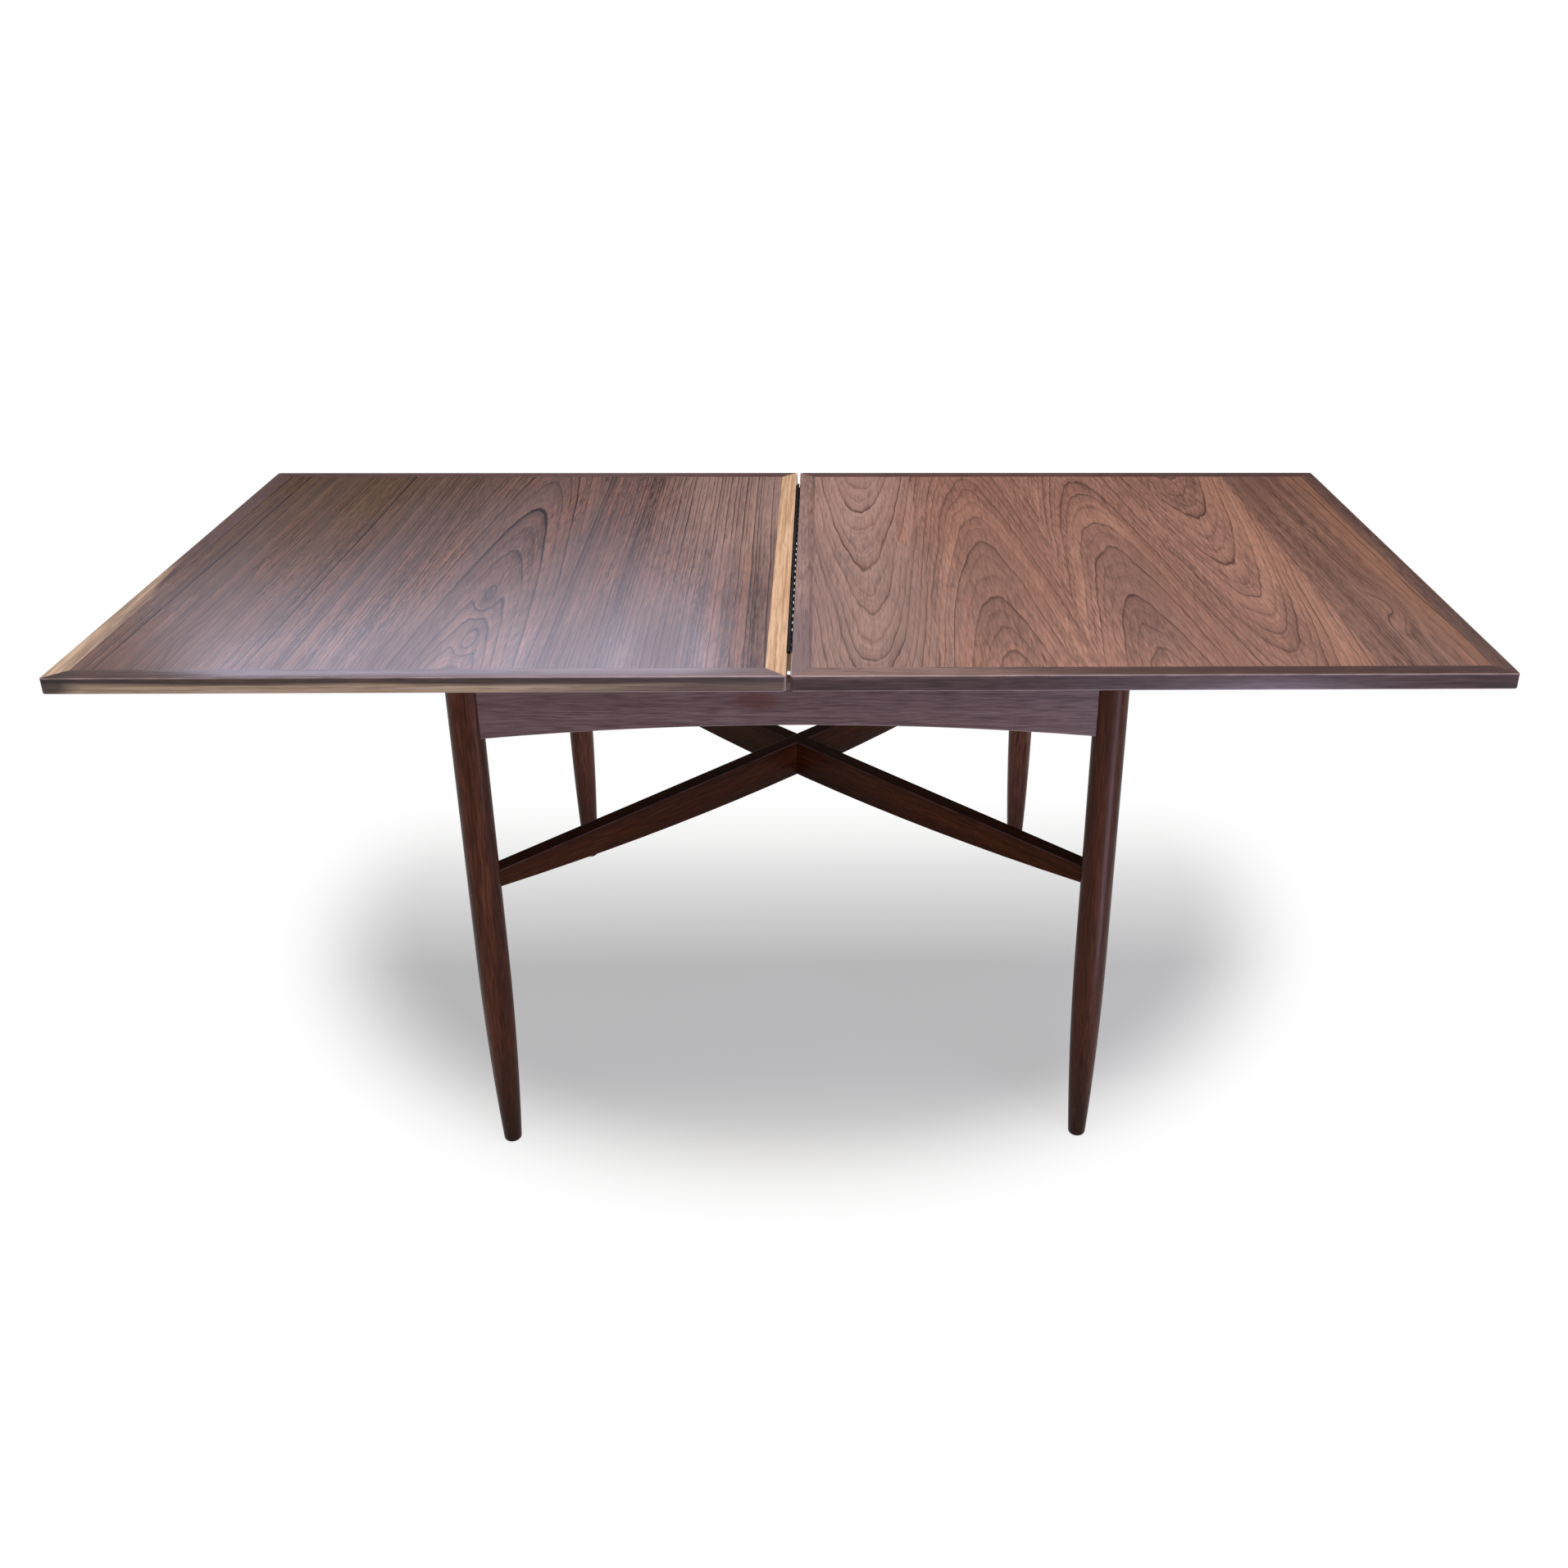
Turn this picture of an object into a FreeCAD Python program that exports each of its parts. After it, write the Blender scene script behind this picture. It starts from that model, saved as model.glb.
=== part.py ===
import FreeCAD, Part
import math
import os
import re

import Sketcher
from FreeCAD import Placement, Rotation, Vector

# Flip-top table, in millimetres. Two square leaves lie side by side on a square frame of four turned legs.
# The right leaf slides on two grooved rails; the left leaf folds over onto it about a continuous hinge.
# The origin is on the floor under the middle of the seam, +X towards the right leaf, +Y to the rear, +Z up.

doc = FreeCAD.newDocument("flip_top_table")

# Driving sizes
SIZES = {
    # Whole table
    "table_height": 740,
    "leaf_side": 900,
    "leaf_thickness": 21,
    "seam_gap": 5,
    "leaf_clearance": 0.3,
    "glue_gap": 0.1,
    # Leaf construction
    "border_width": 26,
    "corner_radius": 4.5,
    "arris_bevel": 1.5,
    "veneer_thickness": 0.8,
    "tongue_depth": 6,
    "tongue_thickness": 6,
    # Legs
    "leg_inset": 43,
    "leg_diameter": 43,
    "foot_diameter": 24.5,
    "foot_round": 4,
    "taper_height": 320,
    # Aprons
    "apron_thickness": 22,
    "apron_height": 79.5,
    "arch_rise": 19.5,
    "apron_tenon_thickness": 12,
    "apron_tenon_shoulder": 10,
    "tenon_stop": 8,
    "tenon_root": 4,
    "frame_bevel": 1.2,
    # Crossed stretchers
    "stretcher_thickness": 24,
    "stretcher_top": 441.5,
    "stretcher_middle_depth": 56,
    "stretcher_end_depth": 23,
    "stretcher_tenon_thickness": 12,
    "stretcher_tenon_shoulder": 3,
    # Glue blocks in the corners of the frame
    "block_near": 30,
    "block_far": 62,
    "block_height": 34,
    "block_drop": 6,
    # Slide rails and the cleats that run in them
    "rail_setback": 131,
    "rail_width": 30,
    "rail_height": 40,
    "groove_depth": 9,
    "groove_height": 10,
    "groove_drop": 12,
    "rail_stub_length": 8,
    "rail_stub_shoulder": 4,
    "cleat_width": 24,
    "cleat_height": 34,
    "cleat_gap": 0.5,
    "tongue_play": 0.4,
    "stop_gap": 0.5,
    # Screws up through the cleats
    "cleat_screw_setback": 39.25,
    "cleat_screw_recess": 12,
    "cleat_screw_bite": 13,
    "cleat_screw_head": 8,
    "cleat_screw_head_height": 3,
    "cleat_screw_shank": 4,
    "screw_tip": 3,
    # Continuous hinge let into the seam edges, with the pin just above the surface
    "hinge_setback": 75,
    "hinge_plate_height": 15,
    "hinge_plate_thickness": 1.2,
    "hinge_lip_drop": 0.9,
    "fold_gap": 0.5,
    "knuckle_diameter": 3.6,
    "knuckle_gap": 0.2,
    "pin_diameter": 2,
    "pin_setback": 0.5,
    "pin_seat_gap": 0.02,
    "pin_running_gap": 0.05,
    # Screws through the hinge plates
    "hinge_screw_setback": 19,
    "hinge_screw_drop": 8.5,
    "hinge_screw_head": 5,
    "hinge_screw_shank": 2.8,
    "hinge_screw_length": 16,
}

# Counts along the hinge: knuckles of each plate, which take turns, and spaces between the screws of a plate
KNUCKLES = {"right": 29, "left": 30}
SCREW_SPACES = 8

# Sizes that follow from the driving sizes
DERIVED = {
    "leaf_bottom": "table_height - leaf_thickness",
    "frame_top": "leaf_bottom - leaf_clearance",
    "field_side": "leaf_side - 2 * border_width",
    "mitre_corner": "corner_radius * (1 - sqrt(0.5))",
    "leg_radius": "leg_diameter / 2",
    "foot_radius": "foot_diameter / 2",
    "leg_axis": "leaf_side / 2 - leg_inset",
    "taper_radius": "((taper_height - foot_round) ^ 2 + (leg_radius - foot_radius) ^ 2)"
                    " / (2 * (leg_radius - foot_radius))",
    "apron_low": "frame_top - apron_height",
    "apron_inside": "leg_axis - apron_thickness / 2",
    "arch_radius": "(leg_axis ^ 2 + arch_rise ^ 2) / (2 * arch_rise)",
    "stretcher_reach": "leg_axis * sqrt(2)",
    "stretcher_belly": "stretcher_middle_depth - stretcher_end_depth",
    "belly_radius": "(stretcher_reach ^ 2 + stretcher_belly ^ 2) / (2 * stretcher_belly)",
    "lap_height": "stretcher_top - stretcher_middle_depth / 2",
    "rail_offset": "leg_axis - rail_setback",
    "groove_top": "frame_top - groove_drop",
    "groove_bottom": "groove_top - groove_height",
    "rail_stub_near": "rail_offset - rail_width / 2 + groove_depth + rail_stub_shoulder",
    "rail_stub_far": "rail_offset + rail_width / 2 - rail_stub_shoulder",
    "slide_travel": "(leaf_side + seam_gap) / 2",
    "cleat_length": "2 * apron_inside - 2 * stop_gap - slide_travel",
    "cleat_middle": "apron_inside - stop_gap - cleat_length / 2",
    "cleat_face": "rail_offset - rail_width / 2 - cleat_gap",
    "cleat_bottom": "leaf_bottom - cleat_height",
    "cleat_screw_spacing": "cleat_length / 2 - cleat_screw_setback",
    "cleat_screw_length": "cleat_height - cleat_screw_recess + cleat_screw_head_height + cleat_screw_bite",
    "hinge_length": "leaf_side - 2 * hinge_setback",
    "hinge_screw_spacing": f"(hinge_length - 2 * hinge_screw_setback) / {SCREW_SPACES}",
    "lip_top": "leaf_thickness - hinge_lip_drop",
    "lip_bottom": "lip_top - hinge_plate_thickness",
    "plate_bottom": "lip_top - hinge_plate_height",
    "screw_height": "lip_top - hinge_screw_drop",
    "knuckle_pitch": f"hinge_length / {sum(KNUCKLES.values())}",
    "pin_reach": "seam_gap / 2",
    "pin_lift": "leaf_thickness + fold_gap / 2",
    "pin_length": "hinge_length - 2 * pin_setback",
}

sheet = doc.addObject("Spreadsheet::Sheet", "sizes")
for row, (alias, size) in enumerate({**SIZES, **DERIVED}.items(), start=1):
    sheet.set(f"A{row}", alias)
    sheet.set(f"B{row}", f"={size}" if alias in DERIVED else str(size))
    sheet.setAlias(f"B{row}", alias)
doc.recompute()

nodes = {}


def cells(text):
    """Turn the size names in a formula into references to the sheet."""
    known = SIZES.keys() | DERIVED.keys()
    return re.sub(r"[a-z_]+", lambda word: "sizes." + word[0] if word[0] in known else word[0], text)


def value(text):
    return float(sheet.evalExpression(cells(text)))


def bind(item, bindings):
    for path, text in bindings.items():
        item.setExpression(path, cells(text))


def place(item, x="0", y="0", z="0", axis=Vector(0, 0, 1), turn=0):
    item.Placement = Placement(Vector(), Rotation(axis, turn))
    bind(item, {"Placement.Base.x": x, "Placement.Base.y": y, "Placement.Base.z": z})
    return item


def node(name, item):
    item.Label = name
    nodes[name] = item
    return item


def new_body(name):
    return doc.addObject("PartDesign::Body", name)


# Sketches: outlines are lists of corners (x, y) as formulas; a third entry (radius, turn) makes the edge
# that leaves the corner an arc, which turns "left" or "right" along the outline


def rectangle(low_x, low_y, high_x, high_y):
    return [(low_x, low_y), (high_x, low_y), (high_x, high_y), (low_x, high_y)]


def centred_rectangle(x, y, width, height):
    return rectangle(
        f"{x} - ({width}) / 2", f"{y} - ({height}) / 2", f"{x} + ({width}) / 2", f"{y} + ({height}) / 2"
    )


def arc_between(start, end, radius, turn):
    chord = end - start
    half = chord.Length / 2
    rise = radius - math.sqrt(max(radius ** 2 - half ** 2, 0))
    side = 1 if turn == "right" else -1
    bulge = Vector(-chord.y, chord.x, 0).normalize() * (side * rise)
    return Part.Arc(start, (start + end) / 2 + bulge, end)


def fix(sketch, kind, formula, *where):
    index = sketch.addConstraint(Sketcher.Constraint(kind, *where, value(formula)))
    sketch.setExpression(f"Constraints[{index}]", cells(formula))


def draw_outline(sketch, corners):
    points = [Vector(value(corner[0]), value(corner[1]), 0) for corner in corners]
    edges = []
    for index, corner in enumerate(corners):
        start = points[index]
        end = points[(index + 1) % len(points)]
        if len(corner) == 2:
            edges.append((sketch.addGeometry(Part.LineSegment(start, end)), 1, 2))
            continue
        radius, turn = corner[2]
        edge = sketch.addGeometry(arc_between(start, end, value(radius), turn))
        edges.append((edge, 1, 2) if turn == "left" else (edge, 2, 1))
        fix(sketch, "Radius", radius, edge)
    for index, (edge, start, end) in enumerate(edges):
        following = edges[(index + 1) % len(edges)]
        sketch.addConstraint(Sketcher.Constraint("Coincident", edge, end, following[0], following[1]))
        fix(sketch, "DistanceX", corners[index][0], -1, 1, edge, start)
        fix(sketch, "DistanceY", corners[index][1], -1, 1, edge, start)


def draw_circle(sketch, x, y, radius):
    centre = Vector(value(x), value(y), 0)
    edge = sketch.addGeometry(Part.Circle(centre, Vector(0, 0, 1), value(radius)))
    fix(sketch, "Radius", radius, edge)
    fix(sketch, "DistanceX", x, -1, 1, edge, 3)
    fix(sketch, "DistanceY", y, -1, 1, edge, 3)


def new_sketch(body, name, plane, outlines=(), circles=(), lift="0", turn=0):
    """Sketch on an origin plane of its body, lifted along the plane's normal and turned about the upright."""
    sketch = body.newObject("Sketcher::SketchObject", name)
    support = [item for item in body.Origin.OriginFeatures if item.Role == plane][0]
    sketch.AttachmentSupport = [(support, "")]
    sketch.MapMode = "FlatFace"
    sketch.AttachmentOffset = Placement(Vector(), Rotation(Vector(0, 1, 0), turn))
    bind(sketch, {
        "AttachmentOffset.Base.x": f"({lift}) * sin({turn} deg)",
        "AttachmentOffset.Base.z": f"({lift}) * cos({turn} deg)",
    })
    for corners in outlines:
        draw_outline(sketch, corners)
    for circle in circles:
        draw_circle(sketch, *circle)
    return sketch


def extrude(body, kind, sketch, length, sides="One side", reverse=False):
    feature = body.newObject(f"PartDesign::{kind}", f"{sketch.Name}_{kind.lower()}")
    feature.Profile = sketch
    feature.SideType = sides
    feature.Reversed = reverse
    bind(feature, {"Length": length})
    return feature


def pad(body, sketch, length, **options):
    return extrude(body, "Pad", sketch, length, **options)


def pocket(body, sketch, length, **options):
    return extrude(body, "Pocket", sketch, length, **options)


def revolve(body, sketch):
    feature = body.newObject("PartDesign::Revolution", f"{sketch.Name}_turned")
    feature.Profile = sketch
    feature.ReferenceAxis = (sketch, ["V_Axis"])
    feature.Angle = 360
    return feature


def bevel_edges(body, base, choose, size):
    """Bevel the edges of a feature whose vertices all satisfy a test."""
    doc.recompute()
    chosen = [
        f"Edge{number}"
        for number, edge in enumerate(base.Shape.Edges, start=1)
        if choose([vertex.Point for vertex in edge.Vertexes])
    ]
    feature = body.newObject("PartDesign::Chamfer", f"{base.Name}_bevel")
    feature.Base = (base, chosen)
    bind(feature, {"Size": size})
    return feature


def near(first, second):
    return abs(first - second) < 1e-4


# Frame: turned legs, arched aprons, crossed stretchers, glue blocks and slide rails


def mortise(body, name, angle, thickness, low, high):
    """Slot from the leg's surface in towards its axis, for a tenon that comes in from one side."""
    slot = centred_rectangle("0", f"(({low}) + ({high})) / 2", f"{thickness} + 2 * glue_gap",
                             f"({high}) - ({low}) + 2 * glue_gap")
    sketch = new_sketch(body, name, "YZ_Plane", [slot], lift="tenon_stop - glue_gap", turn=angle)
    return pocket(body, sketch, "leg_radius", reverse=True)


def make_leg(name, side_x, side_y, turn):
    body = new_body(name)
    profile = new_sketch(body, f"{name}_profile", "XZ_Plane", [[
        ("0", "0"),
        ("foot_radius - foot_round", "0", ("foot_round", "left")),
        ("foot_radius", "foot_round", ("taper_radius", "left")),
        ("leg_radius", "taper_height"),
        ("leg_radius", "frame_top"),
        ("0", "frame_top"),
    ]])
    revolve(body, profile)
    for angle in (0, 90):
        mortise(body, f"{name}_apron_mortise_{angle}", angle, "apron_tenon_thickness",
                "apron_low + apron_tenon_shoulder", "frame_top - apron_tenon_shoulder")
    mortise(body, f"{name}_stretcher_mortise", 45, "stretcher_tenon_thickness",
            "stretcher_top - stretcher_end_depth + stretcher_tenon_shoulder",
            "stretcher_top - stretcher_tenon_shoulder")
    node(name, place(body, f"{side_x} * leg_axis", f"{side_y} * leg_axis", turn=turn))


def cope_and_tenon(body, name, reach, low, high, thickness):
    """Hollow both ends of a bar round the legs it meets, and leave a tenon on each end."""
    legs = [(f"{side} * {reach}", "0", "leg_radius + glue_gap") for side in (-1, 1)]
    pocket(body, new_sketch(body, f"{name}_cope", "XY_Plane", circles=legs), "table_height", reverse=True)
    tenon_length = "leg_radius + tenon_root - tenon_stop"
    tenon_middle = f"({reach} - (leg_radius + tenon_root + tenon_stop) / 2)"
    tenons = [
        centred_rectangle(f"{side} * {tenon_middle}", f"(({low}) + ({high})) / 2", tenon_length,
                          f"({high}) - ({low})")
        for side in (-1, 1)
    ]
    pad(body, new_sketch(body, f"{name}_tenons", "XZ_Plane", tenons), thickness, sides="Symmetric")


def make_apron(name, x, y, turn, carries_rails):
    body = new_body(name)
    face = new_sketch(body, f"{name}_face", "XZ_Plane", [[
        ("-leg_axis", "frame_top"),
        ("-leg_axis", "apron_low", ("arch_radius", "right")),
        ("leg_axis", "apron_low"),
        ("leg_axis", "frame_top"),
    ]])
    board = pad(body, face, "apron_thickness", sides="Symmetric")
    lower = value("apron_low")
    bevel_edges(body, board,
                lambda points: all(near(point.z, lower) for point in points)
                and not near(points[0].x, points[-1].x), "frame_bevel")
    cope_and_tenon(body, name, "leg_axis", "apron_low + apron_tenon_shoulder",
                   "frame_top - apron_tenon_shoulder", "apron_tenon_thickness")
    if carries_rails:
        seats = [
            centred_rectangle(f"{side} * (rail_stub_near + rail_stub_far) / 2", "frame_top - rail_height / 2",
                              "rail_stub_far - rail_stub_near + 2 * glue_gap",
                              "rail_height - 2 * rail_stub_shoulder + 2 * glue_gap")
            for side in (-1, 1)
        ]
        bottom = "rail_stub_length + glue_gap - apron_thickness / 2"
        seat_sketch = new_sketch(body, f"{name}_rail_seats", "XZ_Plane", seats, lift=bottom)
        pocket(body, seat_sketch, "apron_thickness")
    node(name, place(body, x, y, turn=turn))


def make_stretcher(name, turn, lap_above):
    body = new_body(name)
    side = new_sketch(body, f"{name}_side", "XZ_Plane", [[
        ("-stretcher_reach", "stretcher_top"),
        ("-stretcher_reach", "stretcher_top - stretcher_end_depth", ("belly_radius", "left")),
        ("stretcher_reach", "stretcher_top - stretcher_end_depth"),
        ("stretcher_reach", "stretcher_top"),
    ]])
    bar = pad(body, side, "stretcher_thickness", sides="Symmetric")
    bevel_edges(body, bar, lambda points: not near(points[0].x, points[-1].x), "frame_bevel")
    cope_and_tenon(body, name, "stretcher_reach",
                   "stretcher_top - stretcher_end_depth + stretcher_tenon_shoulder",
                   "stretcher_top - stretcher_tenon_shoulder", "stretcher_tenon_thickness")
    notch_middle = "lap_height + stretcher_middle_depth / 2" if lap_above else \
        "lap_height - stretcher_middle_depth / 2"
    notch = centred_rectangle("0", f"({notch_middle})", "stretcher_thickness + 2 * glue_gap",
                              "stretcher_middle_depth + glue_gap")
    pocket(body, new_sketch(body, f"{name}_lap", "XZ_Plane", [notch]), "2 * stretcher_thickness",
           sides="Symmetric")
    node(name, place(body, turn=turn))


def make_glue_block(name, side_x, side_y, turn):
    body = new_body(name)
    inside = "apron_thickness / 2"
    plan = new_sketch(body, f"{name}_plan", "XY_Plane", [[
        (inside, "block_near"),
        ("block_near", inside),
        ("block_far", inside),
        (inside, "block_far"),
    ]], lift="frame_top - block_drop - block_height")
    pad(body, plan, "block_height")
    node(name, place(body, f"{side_x} * leg_axis", f"{side_y} * leg_axis", turn=turn))


def make_slide_rail(name, side_y, turn):
    body = new_body(name)
    bottom = "frame_top - rail_height"
    section = new_sketch(body, f"{name}_section", "YZ_Plane", [[
        ("-rail_width / 2", "frame_top"),
        ("-rail_width / 2", bottom),
        ("rail_width / 2", bottom),
        ("rail_width / 2", "groove_bottom"),
        ("rail_width / 2 - groove_depth", "groove_bottom"),
        ("rail_width / 2 - groove_depth", "groove_top"),
        ("rail_width / 2", "groove_top"),
        ("rail_width / 2", "frame_top"),
    ]])
    pad(body, section, "2 * apron_inside", sides="Symmetric")
    stub = centred_rectangle("rail_offset - (rail_stub_near + rail_stub_far) / 2",
                             "frame_top - rail_height / 2", "rail_stub_far - rail_stub_near",
                             "rail_height - 2 * rail_stub_shoulder")
    pad(body, new_sketch(body, f"{name}_stubs", "YZ_Plane", [stub]), "2 * (apron_inside + rail_stub_length)",
        sides="Symmetric")
    node(name, place(body, y=f"{side_y} * rail_offset", turn=turn))


# Leaves: a veneered core board inside four mitred rails


def make_core(name, turn, screw_holes):
    body = new_body(name)
    middle = "seam_gap / 2 + leaf_side / 2"
    board = new_sketch(body, f"{name}_board", "XY_Plane",
                       [centred_rectangle(middle, "0", "field_side", "field_side")], lift="veneer_thickness")
    pad(body, board, "leaf_thickness - 2 * veneer_thickness")
    ring = [
        centred_rectangle(middle, "0", "leaf_side", "leaf_side"),
        centred_rectangle(middle, "0", *["field_side - 2 * (tongue_depth + glue_gap)"] * 2),
    ]
    groove = new_sketch(body, f"{name}_groove", "XY_Plane", ring,
                        lift="(leaf_thickness - tongue_thickness) / 2 - glue_gap")
    pocket(body, groove, "tongue_thickness + 2 * glue_gap", reverse=True)
    if screw_holes:
        holes = new_sketch(body, f"{name}_pilots", "XY_Plane", circles=screw_holes)
        pocket(body, holes, "cleat_screw_bite + glue_gap", reverse=True)
    node(name, place(body, z="leaf_bottom", turn=turn))


def make_veneer(name, turn, lift, screw_holes):
    body = new_body(name)
    field = centred_rectangle("seam_gap / 2 + leaf_side / 2", "0", "field_side", "field_side")
    sheet_plan = new_sketch(body, f"{name}_plan", "XY_Plane", [field], circles=screw_holes, lift=lift)
    pad(body, sheet_plan, "veneer_thickness")
    node(name, place(body, z="leaf_bottom", turn=turn))


def make_border_rail(name, x, y, turn, hinged):
    """Mitred rail along local X with its outer face at local y = 0 and its underside at local z = 0."""
    body = new_body(name)
    plan = new_sketch(body, f"{name}_plan", "XY_Plane", [[
        ("border_width", "border_width"),
        ("leaf_side - border_width", "border_width"),
        ("leaf_side - mitre_corner", "mitre_corner", ("corner_radius", "right")),
        ("leaf_side - corner_radius", "0"),
        ("corner_radius", "0", ("corner_radius", "right")),
        ("mitre_corner", "mitre_corner"),
    ]])
    strip = pad(body, plan, "leaf_thickness")
    corner = value("mitre_corner") + 1e-4
    bevel_edges(body, strip,
                lambda points: all(point.y < corner for point in points)
                and near(points[0].z, points[-1].z), "arris_bevel")
    tip = "border_width + tongue_depth"
    root = "border_width - tongue_depth / 2"
    tongue = new_sketch(body, f"{name}_tongue", "XY_Plane", [[
        (root, root),
        (f"leaf_side - ({root})", root),
        (f"leaf_side - ({tip})", tip),
        (tip, tip),
    ]], lift="(leaf_thickness - tongue_thickness) / 2")
    pad(body, tongue, "tongue_thickness")
    if hinged:
        cut_hinge_seat(body, name)
    node(name, place(body, x, y, "leaf_bottom", turn=turn))


def hinge_screw_places():
    """Places along the hinge, from its middle."""
    return [f"{space - SCREW_SPACES / 2} * hinge_screw_spacing" for space in range(SCREW_SPACES + 1)]


def cut_hinge_seat(body, name):
    """Let a hinge plate into the edge, open to the top, with pilot holes behind the screws."""
    seat = centred_rectangle("leaf_side / 2", "(plate_bottom - glue_gap + 2 * leaf_thickness) / 2",
                             "hinge_length + 2 * glue_gap", "2 * leaf_thickness - plate_bottom + glue_gap")
    pocket(body, new_sketch(body, f"{name}_seat", "XZ_Plane", [seat]), "hinge_plate_thickness + glue_gap")
    pilots = [
        (f"leaf_side / 2 + {along}", "screw_height", "hinge_screw_shank / 2 + glue_gap")
        for along in hinge_screw_places()
    ]
    pocket(body, new_sketch(body, f"{name}_pilots", "XZ_Plane", circles=pilots),
           "hinge_screw_length + glue_gap")


def make_leaf(prefix, side):
    turn = 0 if side > 0 else 180
    screwed = cleat_screw_places() if side > 0 else []
    shank = "cleat_screw_shank / 2 + glue_gap"
    holes = [(x, y, shank) for x, y in screwed]
    make_core(f"{prefix}_core", turn, holes)
    make_veneer(f"{prefix}_back_veneer", turn, "0", holes)
    make_veneer(f"{prefix}_face_veneer", turn, "leaf_thickness - veneer_thickness", [])
    near_edge = "seam_gap / 2"
    far_edge = "(seam_gap / 2 + leaf_side)"
    half = "leaf_side / 2"
    front, rear = ("front", "rear") if side > 0 else ("rear", "front")
    rails = (
        (front, near_edge, f"-{half}", 0),
        ("end", far_edge, f"-{half}", 90),
        (rear, far_edge, half, 180),
        ("seam", near_edge, half, 270),
    )
    for edge, x, y, angle in rails:
        make_border_rail(f"{prefix}_rail_{edge}", f"{side} * {x}", f"{side} * ({y})", turn + angle,
                         edge == "seam")


# Slide cleats and their screws


def cleat_screw_places():
    across = "(cleat_face - cleat_width / 2)"
    return [
        (f"cleat_middle + {step} * cleat_screw_spacing", f"{side} * {across}")
        for side in (-1, 1) for step in (-1, 0, 1)
    ]


def make_cleat(name, side_y, turn):
    """Bar under the right leaf; its tongue points to local -Y, into the groove of the slide rail."""
    body = new_body(name)
    tip = "-(cleat_gap + groove_depth - tongue_play)"
    section = new_sketch(body, f"{name}_section", "YZ_Plane", [[
        ("0", "leaf_bottom"),
        ("0", "groove_top - tongue_play"),
        (tip, "groove_top - tongue_play"),
        (tip, "groove_bottom + tongue_play"),
        ("0", "groove_bottom + tongue_play"),
        ("0", "cleat_bottom"),
        ("cleat_width", "cleat_bottom"),
        ("cleat_width", "leaf_bottom"),
    ]])
    pad(body, section, "cleat_length", sides="Symmetric")
    places = [(f"{step} * cleat_screw_spacing", "cleat_width / 2") for step in (-1, 0, 1)]
    shanks = [(x, y, "cleat_screw_shank / 2 + glue_gap") for x, y in places]
    heads = [(x, y, "cleat_screw_head / 2 + glue_gap") for x, y in places]
    pocket(body, new_sketch(body, f"{name}_shanks", "XY_Plane", circles=shanks), "table_height", reverse=True)
    recess = new_sketch(body, f"{name}_heads", "XY_Plane", circles=heads, lift="cleat_bottom")
    pocket(body, recess, "cleat_screw_recess", reverse=True)
    node(name, place(body, "cleat_middle", f"{side_y} * cleat_face", turn=turn))


def make_cleat_screws(name):
    screws = []
    for number, (x, y) in enumerate(cleat_screw_places(), start=1):
        body = new_body(f"{name}_{number}")
        profile = new_sketch(body, f"{name}_profile_{number}", "XZ_Plane", [[
            ("0", "0"),
            ("cleat_screw_head / 2", "0"),
            ("cleat_screw_head / 2", "cleat_screw_head_height"),
            ("cleat_screw_shank / 2", "cleat_screw_head_height"),
            ("cleat_screw_shank / 2", "cleat_screw_length - screw_tip"),
            ("0", "cleat_screw_length"),
        ]])
        revolve(body, profile)
        screws.append(place(body, x, y, "cleat_bottom + cleat_screw_recess - cleat_screw_head_height"))
    group(name, screws)


def group(name, items):
    compound = doc.addObject("Part::Compound", name)
    compound.Links = items
    node(name, compound)


# Hinge: a long plate in each seam edge, bent over at the top to knuckles that share one pin


def make_hinge_plate(name, leaf, side):
    """Plate in the frame of the rail that holds it: length along X, face at y = 0, knuckles over the seam."""
    body = new_body(name)
    section = new_sketch(body, f"{name}_section", "YZ_Plane", [[
        ("0", "plate_bottom"),
        ("hinge_plate_thickness", "plate_bottom"),
        ("hinge_plate_thickness", "lip_top"),
        ("-pin_reach", "lip_top"),
        ("-pin_reach", "lip_bottom"),
        ("0", "lip_bottom"),
    ]])
    pad(body, section, "hinge_length", sides="Symmetric")
    barrel = ("-pin_reach", "pin_lift", "knuckle_diameter / 2")
    pad(body, new_sketch(body, f"{name}_barrel", "YZ_Plane", circles=[barrel]), "hinge_length",
        sides="Symmetric")
    play = "pin_seat_gap" if leaf == "right" else "pin_running_gap"
    bore = ("-pin_reach", "pin_lift", f"pin_diameter / 2 + {play}")
    pocket(body, new_sketch(body, f"{name}_bore", "YZ_Plane", circles=[bore]), "2 * hinge_length",
           sides="Symmetric")
    radius = "hinge_screw_shank / 2 + glue_gap"
    holes = [(along, "screw_height", radius) for along in hinge_screw_places()]
    drilled = pocket(body, new_sketch(body, f"{name}_holes", "XZ_Plane", circles=holes),
                     "2 * hinge_plate_thickness")
    centre = value("screw_height")
    reach = value(radius) + 1e-4
    bevel_edges(body, drilled,
                lambda points: all(near(point.y, 0) and abs(point.z - centre) < reach for point in points),
                "(hinge_screw_head - hinge_screw_shank) / 2")
    cut_knuckle_gaps(body, name, KNUCKLES["left" if leaf == "right" else "right"])
    node(name, place(body, f"{side} * pin_reach", z="leaf_bottom", turn=-90 * side))


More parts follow.
